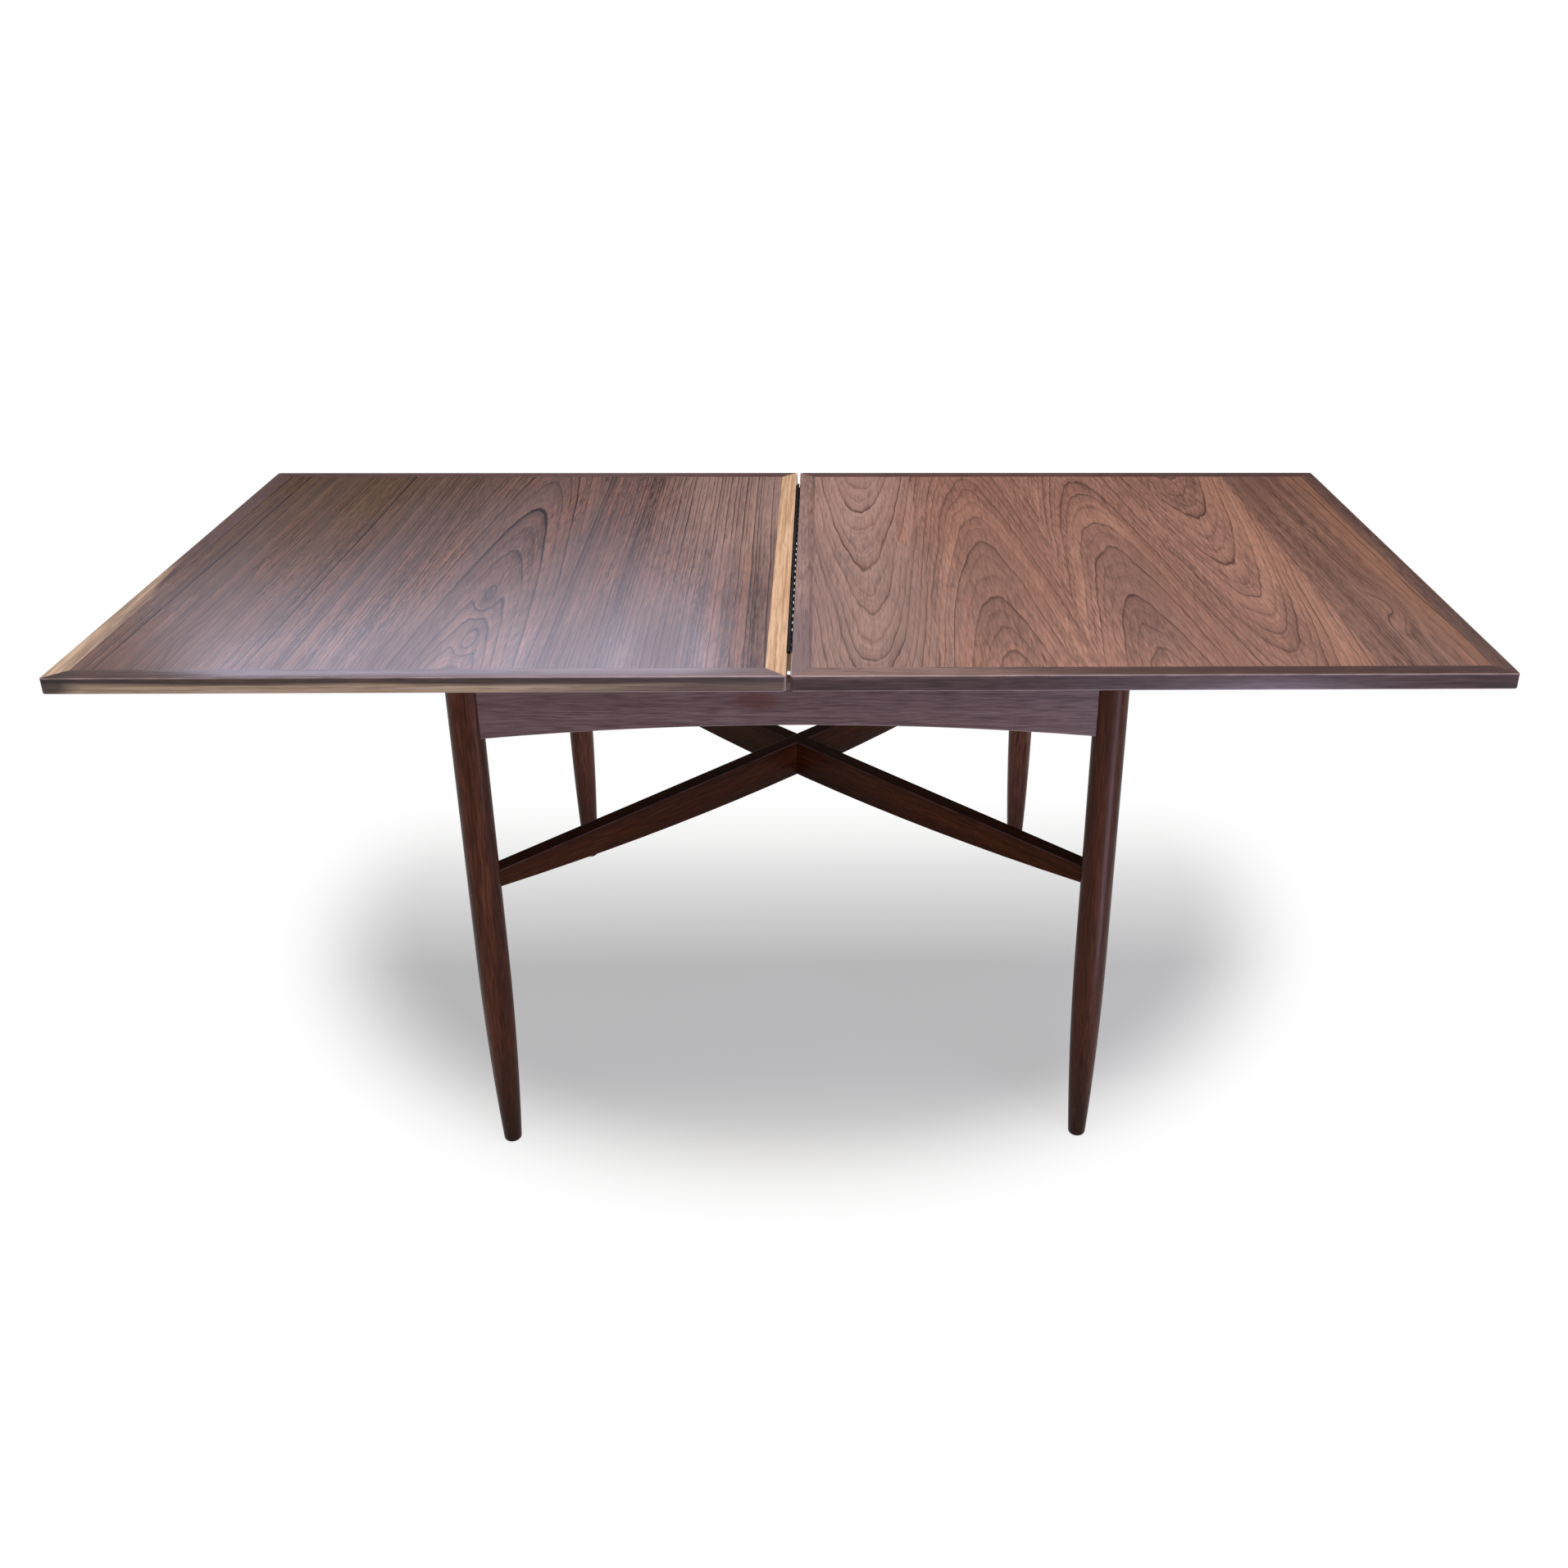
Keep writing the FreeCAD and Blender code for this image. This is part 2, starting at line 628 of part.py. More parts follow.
def cut_knuckle_gaps(body, name, count):
    """Cut room for the other plate's knuckles: a row of gaps, two knuckles apart."""
    clear = "(pin_reach + knuckle_diameter)"
    gap = centred_rectangle(f"{1 - count} * knuckle_pitch", f"-{clear} / 2", "knuckle_pitch + knuckle_gap",
                            clear)
    sketch = new_sketch(body, f"{name}_gap", "XY_Plane", [gap])
    first = pocket(body, sketch, "2 * leaf_thickness", reverse=True)
    row = body.newObject("PartDesign::LinearPattern", f"{name}_gaps")
    row.Originals = [first]
    row.Direction = (sketch, ["H_Axis"])
    row.Occurrences = count
    bind(row, {"Length": f"2 * {count - 1} * knuckle_pitch"})
    body.Tip = row


def make_hinge_screws(name, side):
    screws = []
    for number, along in enumerate(hinge_screw_places(), start=1):
        body = new_body(f"{name}_{number}")
        profile = new_sketch(body, f"{name}_profile_{number}", "XZ_Plane", [[
            ("0", "0"),
            ("hinge_screw_head / 2", "0"),
            ("hinge_screw_shank / 2", "(hinge_screw_head - hinge_screw_shank) / 2"),
            ("hinge_screw_shank / 2", "hinge_screw_length - screw_tip"),
            ("0", "hinge_screw_length"),
        ]])
        revolve(body, profile)
        height = "leaf_bottom + screw_height"
        screws.append(place(body, f"{side} * pin_reach", along, height, Vector(0, 1, 0), 90 * side))
    group(name, screws)


def make_pin(name):
    pin = doc.addObject("Part::Cylinder", name)
    bind(pin, {"Radius": "pin_diameter / 2", "Height": "pin_length"})
    node(name, place(pin, y="-pin_length / 2", z="leaf_bottom + pin_lift", axis=Vector(1, 0, 0), turn=-90))


CORNERS = (
    ("front_left", -1, -1, 0),
    ("front_right", 1, -1, 90),
    ("rear_right", 1, 1, 180),
    ("rear_left", -1, 1, 270),
)
for corner, side_x, side_y, turn in CORNERS:
    make_leg(f"leg_{corner}", side_x, side_y, turn)
    make_glue_block(f"glue_block_{corner}", side_x, side_y, turn)

make_apron("apron_front", "0", "-leg_axis", 0, carries_rails=False)
make_apron("apron_right", "leg_axis", "0", 90, carries_rails=True)
make_apron("apron_rear", "0", "leg_axis", 180, carries_rails=False)
make_apron("apron_left", "-leg_axis", "0", 270, carries_rails=True)

make_stretcher("stretcher_over", 45, lap_above=False)
make_stretcher("stretcher_under", -45, lap_above=True)

make_slide_rail("slide_rail_front", -1, 0)
make_slide_rail("slide_rail_rear", 1, 180)

make_leaf("right_leaf", 1)
make_leaf("left_leaf", -1)

make_cleat("slide_cleat_front", -1, 0)
make_cleat("slide_cleat_rear", 1, 180)
make_cleat_screws("slide_cleat_screws")

for leaf, side in (("right", 1), ("left", -1)):
    make_hinge_plate(f"{leaf}_hinge_plate", leaf, side)
    make_hinge_screws(f"{leaf}_hinge_screws", side)
make_pin("hinge_pin")

doc.recompute()

# Every object must have been built, and every piece must be a sound solid, before anything is written
for item in doc.Objects:
    if "Invalid" in item.State or "Error" in item.State:
        raise RuntimeError(f"{item.Label} did not build: {item.State}")
for name, item in nodes.items():
    if item.Shape.isNull() or not item.Shape.isValid() or not item.Shape.Solids:
        raise RuntimeError(f"{name} is not a sound solid")

os.makedirs("parts", exist_ok=True)
for name, item in nodes.items():
    item.Shape.exportStep(f"parts/{name}.step")
    print(f"{name}: {len(item.Shape.Solids)} solids, {item.Shape.Volume:.0f} mm3")
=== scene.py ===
import math

import bmesh
import bpy
from mathutils import Matrix, Vector


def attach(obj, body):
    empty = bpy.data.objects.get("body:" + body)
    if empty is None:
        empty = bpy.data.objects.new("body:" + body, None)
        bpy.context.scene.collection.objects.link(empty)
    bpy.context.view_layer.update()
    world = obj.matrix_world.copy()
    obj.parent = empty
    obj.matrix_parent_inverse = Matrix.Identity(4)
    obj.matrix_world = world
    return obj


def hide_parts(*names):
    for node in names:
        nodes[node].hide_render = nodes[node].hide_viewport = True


# Flip-top walnut table, opened: two square leaves on a frame of turned legs. Metres, +Z up, +Y to the rear

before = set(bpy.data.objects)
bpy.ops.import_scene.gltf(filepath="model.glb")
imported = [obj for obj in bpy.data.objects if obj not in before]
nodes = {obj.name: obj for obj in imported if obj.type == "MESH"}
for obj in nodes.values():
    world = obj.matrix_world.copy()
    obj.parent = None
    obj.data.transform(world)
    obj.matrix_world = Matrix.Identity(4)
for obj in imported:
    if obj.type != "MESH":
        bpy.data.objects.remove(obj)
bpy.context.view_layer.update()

MM = 0.001
NEAR = 1e-6

# Sizes shared with the solids
TOP = 740 * MM
THICK = 21 * MM
UNDER = TOP - THICK
LEAF = 900 * MM
SEAM = 5 * MM
BORDER = 26 * MM
CORNER = 4.5 * MM
ARRIS = 1.5 * MM
LEG_AXIS = 407 * MM
LEG_HEIGHT = 718.7 * MM
LEG_RADIUS = 21.5 * MM
FOOT_RADIUS = 12.25 * MM
FOOT_ROUND = 4 * MM
TAPER_HEIGHT = 320 * MM
HINGE_LENGTH = 750 * MM
HINGE_SEAT_ROOM = 0.2 * MM
HINGE_SEAT_DEPTH = 1.3 * MM
HINGE_SEAT_FLOOR = 5 * MM
HINGE_SCREW_SPACING = 89 * MM
HINGE_SCREW_HEIGHT = 730.6 * MM
CLEAT_MIDDLE = 226.25 * MM
CLEAT_SCREW_SPACING = 130 * MM
CLEAT_SCREW_ROW = 248.5 * MM
CLEAT_SCREW_HEIGHT = 694 * MM

# Places worked out from them
FRONT = -LEAF / 2
FAR_END = SEAM / 2 + LEAF
FACE_START = SEAM / 2 + BORDER
FACE_WIDTH = LEAF - 2 * BORDER
FACE_END = FACE_START + FACE_WIDTH

LEAVES = (("right", 1, "sliding_leaf"), ("left", -1, "flip_leaf"))
CORNERS = (("front_left", -1, -1), ("front_right", 1, -1), ("rear_left", -1, 1), ("rear_right", 1, 1))


def linear(text):
    """sRGB hex to a linear colour with full alpha."""
    parts = [int(text[i:i + 2], 16) / 255 for i in (1, 3, 5)]
    return tuple(p / 12.92 if p <= 0.04045 else ((p + 0.055) / 1.055) ** 2.4 for p in parts) + (1.0,)


def grey(level):
    """A neutral linear colour, for plain white and for ramps that carry a number."""
    return (level, level, level, 1.0)


def add(tree, kind, links=None, stops=None, blend="LINEAR", **settings):
    """Add a node with its settings, its socket values or links, and the stops of its ramp.

    Sockets go by name, or by number where names repeat. In Mix, 0 is the factor, and 6 and 7 are the colours.
    In Map Range, 0 is the value, 1 and 2 are the ends it comes from, and 3 and 4 the ends it goes to.
    """
    made = tree.nodes.new(kind)
    for setting, value in settings.items():
        setattr(made, setting, value)
    if stops:
        ramp = made.color_ramp
        ramp.interpolation = blend
        for element, (position, colour) in ((1, stops[-1]), (0, stops[0])):
            ramp.elements[element].position = position
            ramp.elements[element].color = colour
        for position, colour in stops[1:-1]:
            ramp.elements.new(position).color = colour
    for socket, value in (links or {}).items():
        if isinstance(value, bpy.types.Node):
            value = next(output for output in value.outputs if output.enabled)
        if isinstance(value, bpy.types.NodeSocket):
            tree.links.new(value, made.inputs[socket])
        else:
            made.inputs[socket].default_value = value
    return made


def new_material(name):
    """A material with its node tree emptied; the caller links a shader to the output."""
    material = bpy.data.materials.new(name)
    material.use_nodes = True
    material.node_tree.nodes.clear()
    return material, material.node_tree


def mottle(tree, place, size, detail, roughness=0.5):
    """Noise in patches of the given size along X, Y and Z, in millimetres."""
    drawn = add(tree, "ShaderNodeMapping", {"Vector": place, "Scale": [1 / (part * MM) for part in size]})
    noise = add(tree, "ShaderNodeTexNoise", {
        "Vector": drawn, "Scale": 1.0, "Detail": detail, "Roughness": roughness})
    return noise.outputs["Fac"]


def away_from(tree, place, centre, reach):
    """Distance from a centre, as a share of the reach along each axis."""
    offset = add(tree, "ShaderNodeVectorMath", {0: place, 1: centre}, operation="SUBTRACT")
    offset = add(tree, "ShaderNodeVectorMath", {0: offset, 1: reach}, operation="DIVIDE")
    return add(tree, "ShaderNodeVectorMath", {0: offset}, operation="LENGTH").outputs["Value"]


# Walnut


def growth_rings(tree, placed, pith, cone, sheets):
    """Distance from the pith of the tree, in metres, over a piece whose grain runs along the placed X axis.

    Rings taper along the trunk by the cone's slope, so a cut along the grain shows arches. A veneered face
    is laid in sheets side by side: their start across the face, their width in all, and for each sheet its
    start, the pith under it, its slope and its tone.
    """
    axes = add(tree, "ShaderNodeSeparateXYZ", {"Vector": placed})
    across, slope, tone = pith[0], cone, None
    if sheets:
        start, width, rows = sheets
        end = start + width
        share = add(tree, "ShaderNodeMapRange", {0: axes.outputs["Y"], 1: start, 2: end})
        # Red holds the pith, green the slope about a half, and blue the tone
        stops = [
            ((edge - start) / width, ((centre - start) / width, 0.5 + lean, shade, 1.0))
            for edge, centre, lean, shade in rows
        ]
        sheet = add(tree, "ShaderNodeValToRGB", {"Fac": share}, stops, "CONSTANT")
        parts = add(tree, "ShaderNodeSeparateColor", {"Color": sheet})
        across = add(tree, "ShaderNodeMapRange", {0: parts.outputs["Red"], 3: start, 4: end}, clamp=False)
        slope = add(tree, "ShaderNodeMath", {0: parts.outputs["Green"], 1: 0.5}, operation="SUBTRACT")
        tone = parts.outputs["Blue"]
    sideways = add(tree, "ShaderNodeMath", {0: axes.outputs["Y"], 1: across}, operation="SUBTRACT")
    depth = add(tree, "ShaderNodeMath", {0: axes.outputs["Z"], 1: pith[1]}, operation="SUBTRACT")
    square = add(tree, "ShaderNodeMath", {0: depth, 1: depth}, operation="MULTIPLY")
    both = add(tree, "ShaderNodeMath", {0: sideways, 1: sideways, 2: square}, operation="MULTIPLY_ADD")
    radius = add(tree, "ShaderNodeMath", {0: both}, operation="SQRT")
    rings = add(tree, "ShaderNodeMath", {0: axes.outputs["X"], 1: slope, 2: radius}, operation="MULTIPLY_ADD")
    return rings, tone


def growth_lines(tree, count, strength, thin_lines=3.3):
    """How far the growth lines darken the wood, by the count of years.

    A year darkens slowly and ends in a dark line, some thin lines lie between, and some years are fainter.
    """
    season = add(tree, "ShaderNodeMath", {0: count}, operation="FRACT")
    year_stops = ((0.0, 0.0), (0.15, 0.0), (0.6, 0.3), (0.78, 0.48), (0.84, 1.0), (0.92, 1.0), (0.97, 0.0))
    late = add(tree, "ShaderNodeValToRGB", {"Fac": season}, [(at, grey(level)) for at, level in year_stops])
    thin = add(tree, "ShaderNodeMath", {0: count, 1: thin_lines}, operation="MULTIPLY")
    thin = add(tree, "ShaderNodeMath", {0: thin}, operation="FRACT")
    thin_stops = ((0.3, 0.0), (0.8, 0.42), (1.0, 0.0))
    thin = add(tree, "ShaderNodeValToRGB", {"Fac": thin}, [(at, grey(level)) for at, level in thin_stops])
    late = add(tree, "ShaderNodeMath", {0: late, 1: thin}, operation="MAXIMUM")
    year = add(tree, "ShaderNodeMath", {0: count}, operation="FLOOR")
    vigour = add(tree, "ShaderNodeTexNoise", {"W": year, "Scale": 0.71, "Detail": 0.0}, noise_dimensions="1D")
    vigour = add(tree, "ShaderNodeMapRange", {
        0: vigour.outputs["Fac"], 1: 0.35, 2: 0.62, 3: 0.4 * strength, 4: strength})
    return add(tree, "ShaderNodeMath", {0: late, 1: vigour}, operation="MULTIPLY")


def walnut(name, tones, turn=(0, 0, 0), pith=(0.12, 0.5), cone=0.0, sheets=None, ring=5, wander=4,
           lines=0.4, stripes=0.3, pores=0.6, roughness=0.4, gloss=0.25, rubbed=1.0,
           eyes=(), tints=(), over=()):
    """Oiled walnut: planed and sanded, then rubbed with oil to a satin.

    Gives the eye growth lines, each a slow darkening that ends in a thin dark line, that stray and quiver;
    wide stripes along the grain; fibres and dark pores as short flecks; slow drifts of hue; a soft sheen.
    Sizes in millimetres: ring is the usual spacing of the growth lines and wander how far they stray. Eyes
    are places where the lines bend round a bud: place across and along the grain, reach both ways, and swell.
    Tints lie under the growth lines, and what is over lies on them.
    """
    material, tree = new_material(name)
    dark, middle, light, drift = (linear(tone) for tone in tones)
    own = add(tree, "ShaderNodeTexCoord").outputs["Object"]
    placed = add(tree, "ShaderNodeMapping", {"Vector": own, "Rotation": turn})
    rings, sheet_tone = growth_rings(tree, placed, pith, cone, sheets)

    def patches(length, breadth, detail):
        """Noise drawn out along the grain: the size of its patches in millimetres."""
        return mottle(tree, placed, (length, breadth, breadth), detail)

    def painted(colour, paints):
        """The colour with each paint laid over it in turn."""
        for paint in paints:
            mask, tint = paint(tree, own, placed)
            colour = add(tree, "ShaderNodeMix", {0: mask, 6: colour, 7: tint}, data_type="RGBA")
        return colour

    # Lines stray over long stretches, quiver over shorter ones and tremble over the shortest
    for length, breadth, reach in ((300, 60, 4 * wander), (70, 16, wander), (22, 6, 0.3 * wander)):
        rings = add(tree, "ShaderNodeMath", {0: patches(length, breadth, 1.0), 1: reach * MM, 2: rings},
                    operation="MULTIPLY_ADD")
    for across, along, breadth, length, height in eyes:
        away = away_from(tree, placed, (along, across, TOP), (length, breadth, 1))
        swell = add(tree, "ShaderNodeMapRange", {0: away, 1: 1.0, 2: 0.0, 4: height * MM},
                    interpolation_type="SMOOTHSTEP")
        rings = add(tree, "ShaderNodeMath", {0: rings, 1: swell}, operation="ADD")

    # Years differ in width: the count of rings runs ahead or falls behind by a year or so
    count = add(tree, "ShaderNodeMath", {0: rings, 1: ring * MM}, operation="DIVIDE")
    years = add(tree, "ShaderNodeTexNoise", {"W": count, "Scale": 0.4, "Detail": 0.0}, noise_dimensions="1D")
    count = add(tree, "ShaderNodeMath", {0: years.outputs["Fac"], 1: 1.2, 2: count}, operation="MULTIPLY_ADD")
    fading = add(tree, "ShaderNodeMapRange", {0: patches(200, 40, 2.0), 1: 0.35, 2: 0.6, 3: 0.6, 4: 1.0})
    line = add(tree, "ShaderNodeMath", {0: growth_lines(tree, count, lines), 1: fading}, operation="MULTIPLY")

    # Ground colour: bands some three years wide, stripes 35 mm wide and fibres 2.4 mm wide
    bands = add(tree, "ShaderNodeTexNoise", {"W": count, "Scale": 0.3, "Detail": 2.0}, noise_dimensions="1D")
    fibres = patches(30, 2.4, 3.0)
    mixed = add(tree, "ShaderNodeMath", {0: bands.outputs["Fac"], 1: 0.3, 2: 0.1 - stripes / 2},
                operation="MULTIPLY_ADD")
    mixed = add(tree, "ShaderNodeMath", {0: patches(1500, 35, 3.0), 1: stripes, 2: mixed},
                operation="MULTIPLY_ADD")
    mixed = add(tree, "ShaderNodeMath", {0: fibres, 1: 0.5, 2: mixed}, operation="MULTIPLY_ADD")
    ground = add(tree, "ShaderNodeValToRGB", {"Fac": mixed}, [(0.3, dark), (0.5, middle), (0.66, light)])

    # Slow drift of hue, then the lines, and the tone of each sheet
    slow = patches(420, 90, 3.0)
    amount = add(tree, "ShaderNodeMapRange", {0: slow, 1: 0.42, 2: 0.62, 4: 0.6})
    colour = add(tree, "ShaderNodeMix", {0: amount, 6: ground, 7: drift}, data_type="RGBA")
    colour = painted(colour, tints)
    colour = add(tree, "ShaderNodeMix", {0: line, 6: colour, 7: dark}, data_type="RGBA")
    if sheet_tone:
        shade = add(tree, "ShaderNodeCombineColor", {0: sheet_tone, 1: sheet_tone, 2: sheet_tone})
        colour = add(tree, "ShaderNodeMix", {0: 1.0, 6: colour, 7: shade}, data_type="RGBA",
                     blend_type="MULTIPLY")
    colour = painted(colour, over)

    # Pores in flecks of some 40 mm: drawn 1.6 mm wide, coarser than real ones, so that they show
    flecks = add(tree, "ShaderNodeMapRange", {0: patches(40, 1.6, 1.0), 1: 0.5, 2: 0.68, 4: pores})
    colour = add(tree, "ShaderNodeMix", {0: flecks, 6: colour, 7: dark}, data_type="RGBA")

    # Arrises are painted paler: partly rubbed wear, partly a painted highlight along the edge
    arris_wear_and_highlight = add(tree, "ShaderNodeAttribute", attribute_name="arris")
    wear_highlight_share = add(tree, "ShaderNodeMath", {0: arris_wear_and_highlight.outputs["Fac"], 1: fibres}, operation="MULTIPLY")
    wear_highlight_share = add(tree, "ShaderNodeMath", {0: wear_highlight_share, 1: rubbed}, operation="MULTIPLY")
    colour = add(tree, "ShaderNodeMix", {0: wear_highlight_share, 6: colour, 7: linear("#a8918a")}, data_type="RGBA")

    rough = add(tree, "ShaderNodeMapRange", {
        0: slow, 1: 0.3, 2: 0.7, 3: roughness - 0.05, 4: roughness + 0.05})
    relief = add(tree, "ShaderNodeBump", {"Strength": 0.3, "Distance": 0.2 * MM, "Height": flecks},
                 invert=True)
    shader = add(tree, "ShaderNodeBsdfPrincipled", {
        "Base Color": colour, "Roughness": rough, "Specular IOR Level": gloss, "Normal": relief})
    add(tree, "ShaderNodeOutputMaterial", {"Surface": shader})
    return material


def sapwood(tones, lean, low, high, stray):
    """Pale sapwood over part of a piece: it sets in along the lean, from low to high, with an uneven edge."""
    def paint(tree, own, placed):
        along = add(tree, "ShaderNodeVectorMath", {0: own, 1: lean}, operation="DOT_PRODUCT")
        # The edge runs in tongues 14 mm wide, and lines 3 mm wide follow the grain
        edge = mottle(tree, placed, (166.7, 14.29, 14.29), 3.0)
        uneven = add(tree, "ShaderNodeMath", {0: edge, 1: 0.5}, operation="SUBTRACT")
        uneven = add(tree, "ShaderNodeMath", {0: uneven, 1: stray, 2: along.outputs["Value"]},
                     operation="MULTIPLY_ADD")
        mask = add(tree, "ShaderNodeMapRange", {0: uneven, 1: low, 2: high, 4: 0.95})
        dark, middle, light = (linear(tone) for tone in tones)
        grain = mottle(tree, placed, (200, 3.125, 3.125), 4.0)
        tint = add(tree, "ShaderNodeValToRGB", {"Fac": grain}, [(0.3, dark), (0.5, middle), (0.7, light)])
        return mask, tint
    return paint


def soft_patch(centre, reach, tint, share):
    """A patch of another hue in the wood, with soft uneven sides."""
    def paint(tree, own, placed):
        # The sides waver over 83 mm along the grain and 11 mm across it
        edge = mottle(tree, placed, (83.3, 11.11, 11.11), 2.0)
        uneven = add(tree, "ShaderNodeMath", {0: edge, 1: 0.7, 2: away_from(tree, own, centre, reach)},
                     operation="MULTIPLY_ADD")
        mask = add(tree, "ShaderNodeMapRange", {0: uneven, 1: 1.5, 2: 0.9, 4: share})
        return mask, linear(tint)
    return paint


def face_patch(x, y, reach_x, reach_y, tint, share):
    """A soft patch on the upper face of a leaf."""
    return soft_patch((x, y, TOP), (reach_x, reach_y, 1), tint, share)


def foot_darkening(tint, top):
    """Darkens the legs towards the foot, from the given height down."""
    def paint(tree, own, placed):
        height = add(tree, "ShaderNodeSeparateXYZ", {"Vector": own}).outputs["Z"]
        mask = add(tree, "ShaderNodeMapRange", {0: height, 1: top, 2: 0.0, 4: 0.75})
        return mask, linear(tint)
    return paint


def scuffs(tint, top):
    """Pale scuffs low on the legs, where shoes and brooms knock them: most at the foot, few above the top."""
    def paint(tree, own, placed):
        height = add(tree, "ShaderNodeSeparateXYZ", {"Vector": own}).outputs["Z"]
        # Marks 4 mm wide and 9 mm tall
        marks = mottle(tree, own, (3.846, 3.846, 9.091), 5.0, 0.7)
        low = add(tree, "ShaderNodeMapRange", {0: height, 1: 0.0, 2: top, 3: 0.0, 4: 0.16})
        mask = add(tree, "ShaderNodeMath", {0: marks, 1: low}, operation="SUBTRACT")
        mask = add(tree, "ShaderNodeMapRange", {0: mask, 1: 0.6, 2: 0.72, 4: 0.55})
        return mask, linear(tint)
    return paint


# Tones of the wood: dark, middle, light, and the hue it drifts to
REDDISH_FACE = ("#3d2721", "#8c675a", "#a67c6b", "#7d594c")
GREYISH_FACE = ("#231a1d", "#745a53", "#94695a", "#5f4c48")
BACK_FACE = ("#4a2f26", "#714b3b", "#875e49", "#664536")
RAIL = ("#36241f", "#5e453c", "#73564a", "#543d39")
BROWN_RAIL = ("#2f201d", "#513b37", "#664d46", "#493736")
DARK_RAIL = ("#2a1b18", "#4a3630", "#5d473f", "#42302d")
SEAM_RAIL_SHEEN_PAINTED = ("#4a3631", "#7f665f", "#937870", "#745b58")
# A paler copy of the lipping wood, for the seam lipping: painted sheen
APRON = ("#40292a", "#69504b", "#80635b", "#5e4544")
STAINED = ("#22100a", "#4e2818", "#683a27", "#402013")
# A lighter copy of the leg stain, for the rear legs: painted light
REAR_STAIN_LIGHT_PAINTED = ("#3a2018", "#724734", "#8b5b47", "#603929")
DEEP_STAIN = ("#180803", "#3f1d0c", "#532b17", "#331607")
FOOT_DARKENING = "#1f0e08"

# Tones of the sapwood: dark, middle, light
SAP = ("#947457", "#b39172", "#c6a88c")
GREYED_SAP = ("#9d846e", "#c6a98f", "#d8bfa7")
TAN_SAP = ("#8e7050", "#b29473", "#c8ae8d")

# How pieces are cut from the tree: way of the grain, and place and slope of the rings
ALONG_Y = (0, 0, math.radians(90))
ALONG_Z = (0, math.radians(90), 0)
FACE_PITH = TOP - 90 * MM
BACK_PITH = UNDER - 20 * MM
LIPPING_X = {"pith": (0.6, 0.5)}
LIPPING_Y = {"turn": ALONG_Y, "pith": (0.3, 0.5)}
APRON_CUT = {"pith": (-0.3, 0.55), "cone": 0.03}
TURNED = {"turn": ALONG_Z, "pith": (0.02, 0.03), "cone": 0.02, "roughness": 0.36, "gloss": 0.08}
CROSSED = {"pith": (0.2, 0.3), "gloss": 0.04, "rubbed": 0.3}

# Flat-sliced veneer in five sheets: tall arches with greyed hearts, and a darker last sheet past a pale strip
right_face = walnut(
    "walnut_veneer_flat_sliced", REDDISH_FACE, ALONG_Y, (0, FACE_PITH),
    sheets=(FACE_START, FACE_WIDTH, [
        (FACE_START, 0.107, 0.052, 1.0), (0.190, 0.281, -0.063, 0.97), (0.385, 0.473, -0.063, 0.96),
        (0.562, 0.640, 0.063, 0.94), (0.737, 0.990, 0.02, 0.72)]),
    ring=4.4, wander=2.0, lines=0.9, stripes=0.1, pores=0.35, roughness=0.34,
    eyes=[(0.825, 0.21, 0.04, 0.15, 24)],
    tints=[face_patch(0.281, -0.15, 0.05, 0.3, "#654b45", 0.5),
           face_patch(0.47, -0.15, 0.055, 0.28, "#654b45", 0.5),
           face_patch(0.88, 0.0, 0.05, 0.7, "#ae7d62", 0.5),
           face_patch(0.71, 0.0, 0.026, 0.9, "#a97c66", 0.5),
           # Painted sheen near the seam: greyer towards the front and paler towards the rear
           face_patch(0.06, -0.2, 0.17, 0.45, "#7d7070", 0.5),
           face_patch(0.06, 0.33, 0.15, 0.25, "#9d827d", 0.5)])

# Rift-sliced veneer: long lines with a sheet of arches among them, a few buds, and an olive cast to the rear.
# Its sheets start and end past the leaf, because their piths do
left_face = walnut(
    "walnut_veneer_rift_sliced", GREYISH_FACE, ALONG_Y, (0, FACE_PITH),
    sheets=(-1.1, 1.4, [
        (-1.1, -1.010, 0.012, 0.97), (-0.690, -0.830, 0.012, 0.95), (-0.520, -0.416, -0.045, 0.95),
        (-0.330, 0.150, 0.012, 0.93)]),
    ring=5.4, wander=1.0, lines=1.3, stripes=0.2, pores=0.4, roughness=0.28,
    eyes=[(-0.418, 0.166, 0.022, 0.11, 9), (-0.412, 0.341, 0.02, 0.08, 6),
          (-0.782, 0.323, 0.02, 0.1, 9), (-0.771, 0.04, 0.02, 0.09, 9)],
    tints=[face_patch(-0.85, 0.5, 0.42, 0.75, "#614a30", 0.6),
           face_patch(-0.08, 0.3, 0.14, 0.4, "#9c8077", 0.7),
           face_patch(-0.22, -0.4, 0.13, 0.17, "#54423f", 0.55),
           face_patch(-0.78, -0.36, 0.15, 0.17, "#7d5946", 0.3)],
    over=[face_patch(-0.418, -0.166, 0.008, 0.04, "#2d2426", 0.5)])

# Plainer veneer on the undersides, four sheets to a leaf
back_face = walnut(
    "walnut_veneer_back", BACK_FACE, ALONG_Y, (0, BACK_PITH),
    sheets=(-FACE_END, 2 * FACE_END, [
        (-FACE_END, -0.780, 0.05, 0.97), (-0.660, -0.560, -0.055, 0.99), (-0.440, -0.330, 0.05, 0.97),
        (-0.220, -0.120, -0.06, 0.98), (0.0, 0.120, 0.05, 0.97), (0.220, 0.330, -0.06, 0.99),
        (0.440, 0.560, 0.05, 0.97), (0.660, 0.780, -0.05, 0.96)]),
    ring=6, lines=0.7, stripes=0.15)

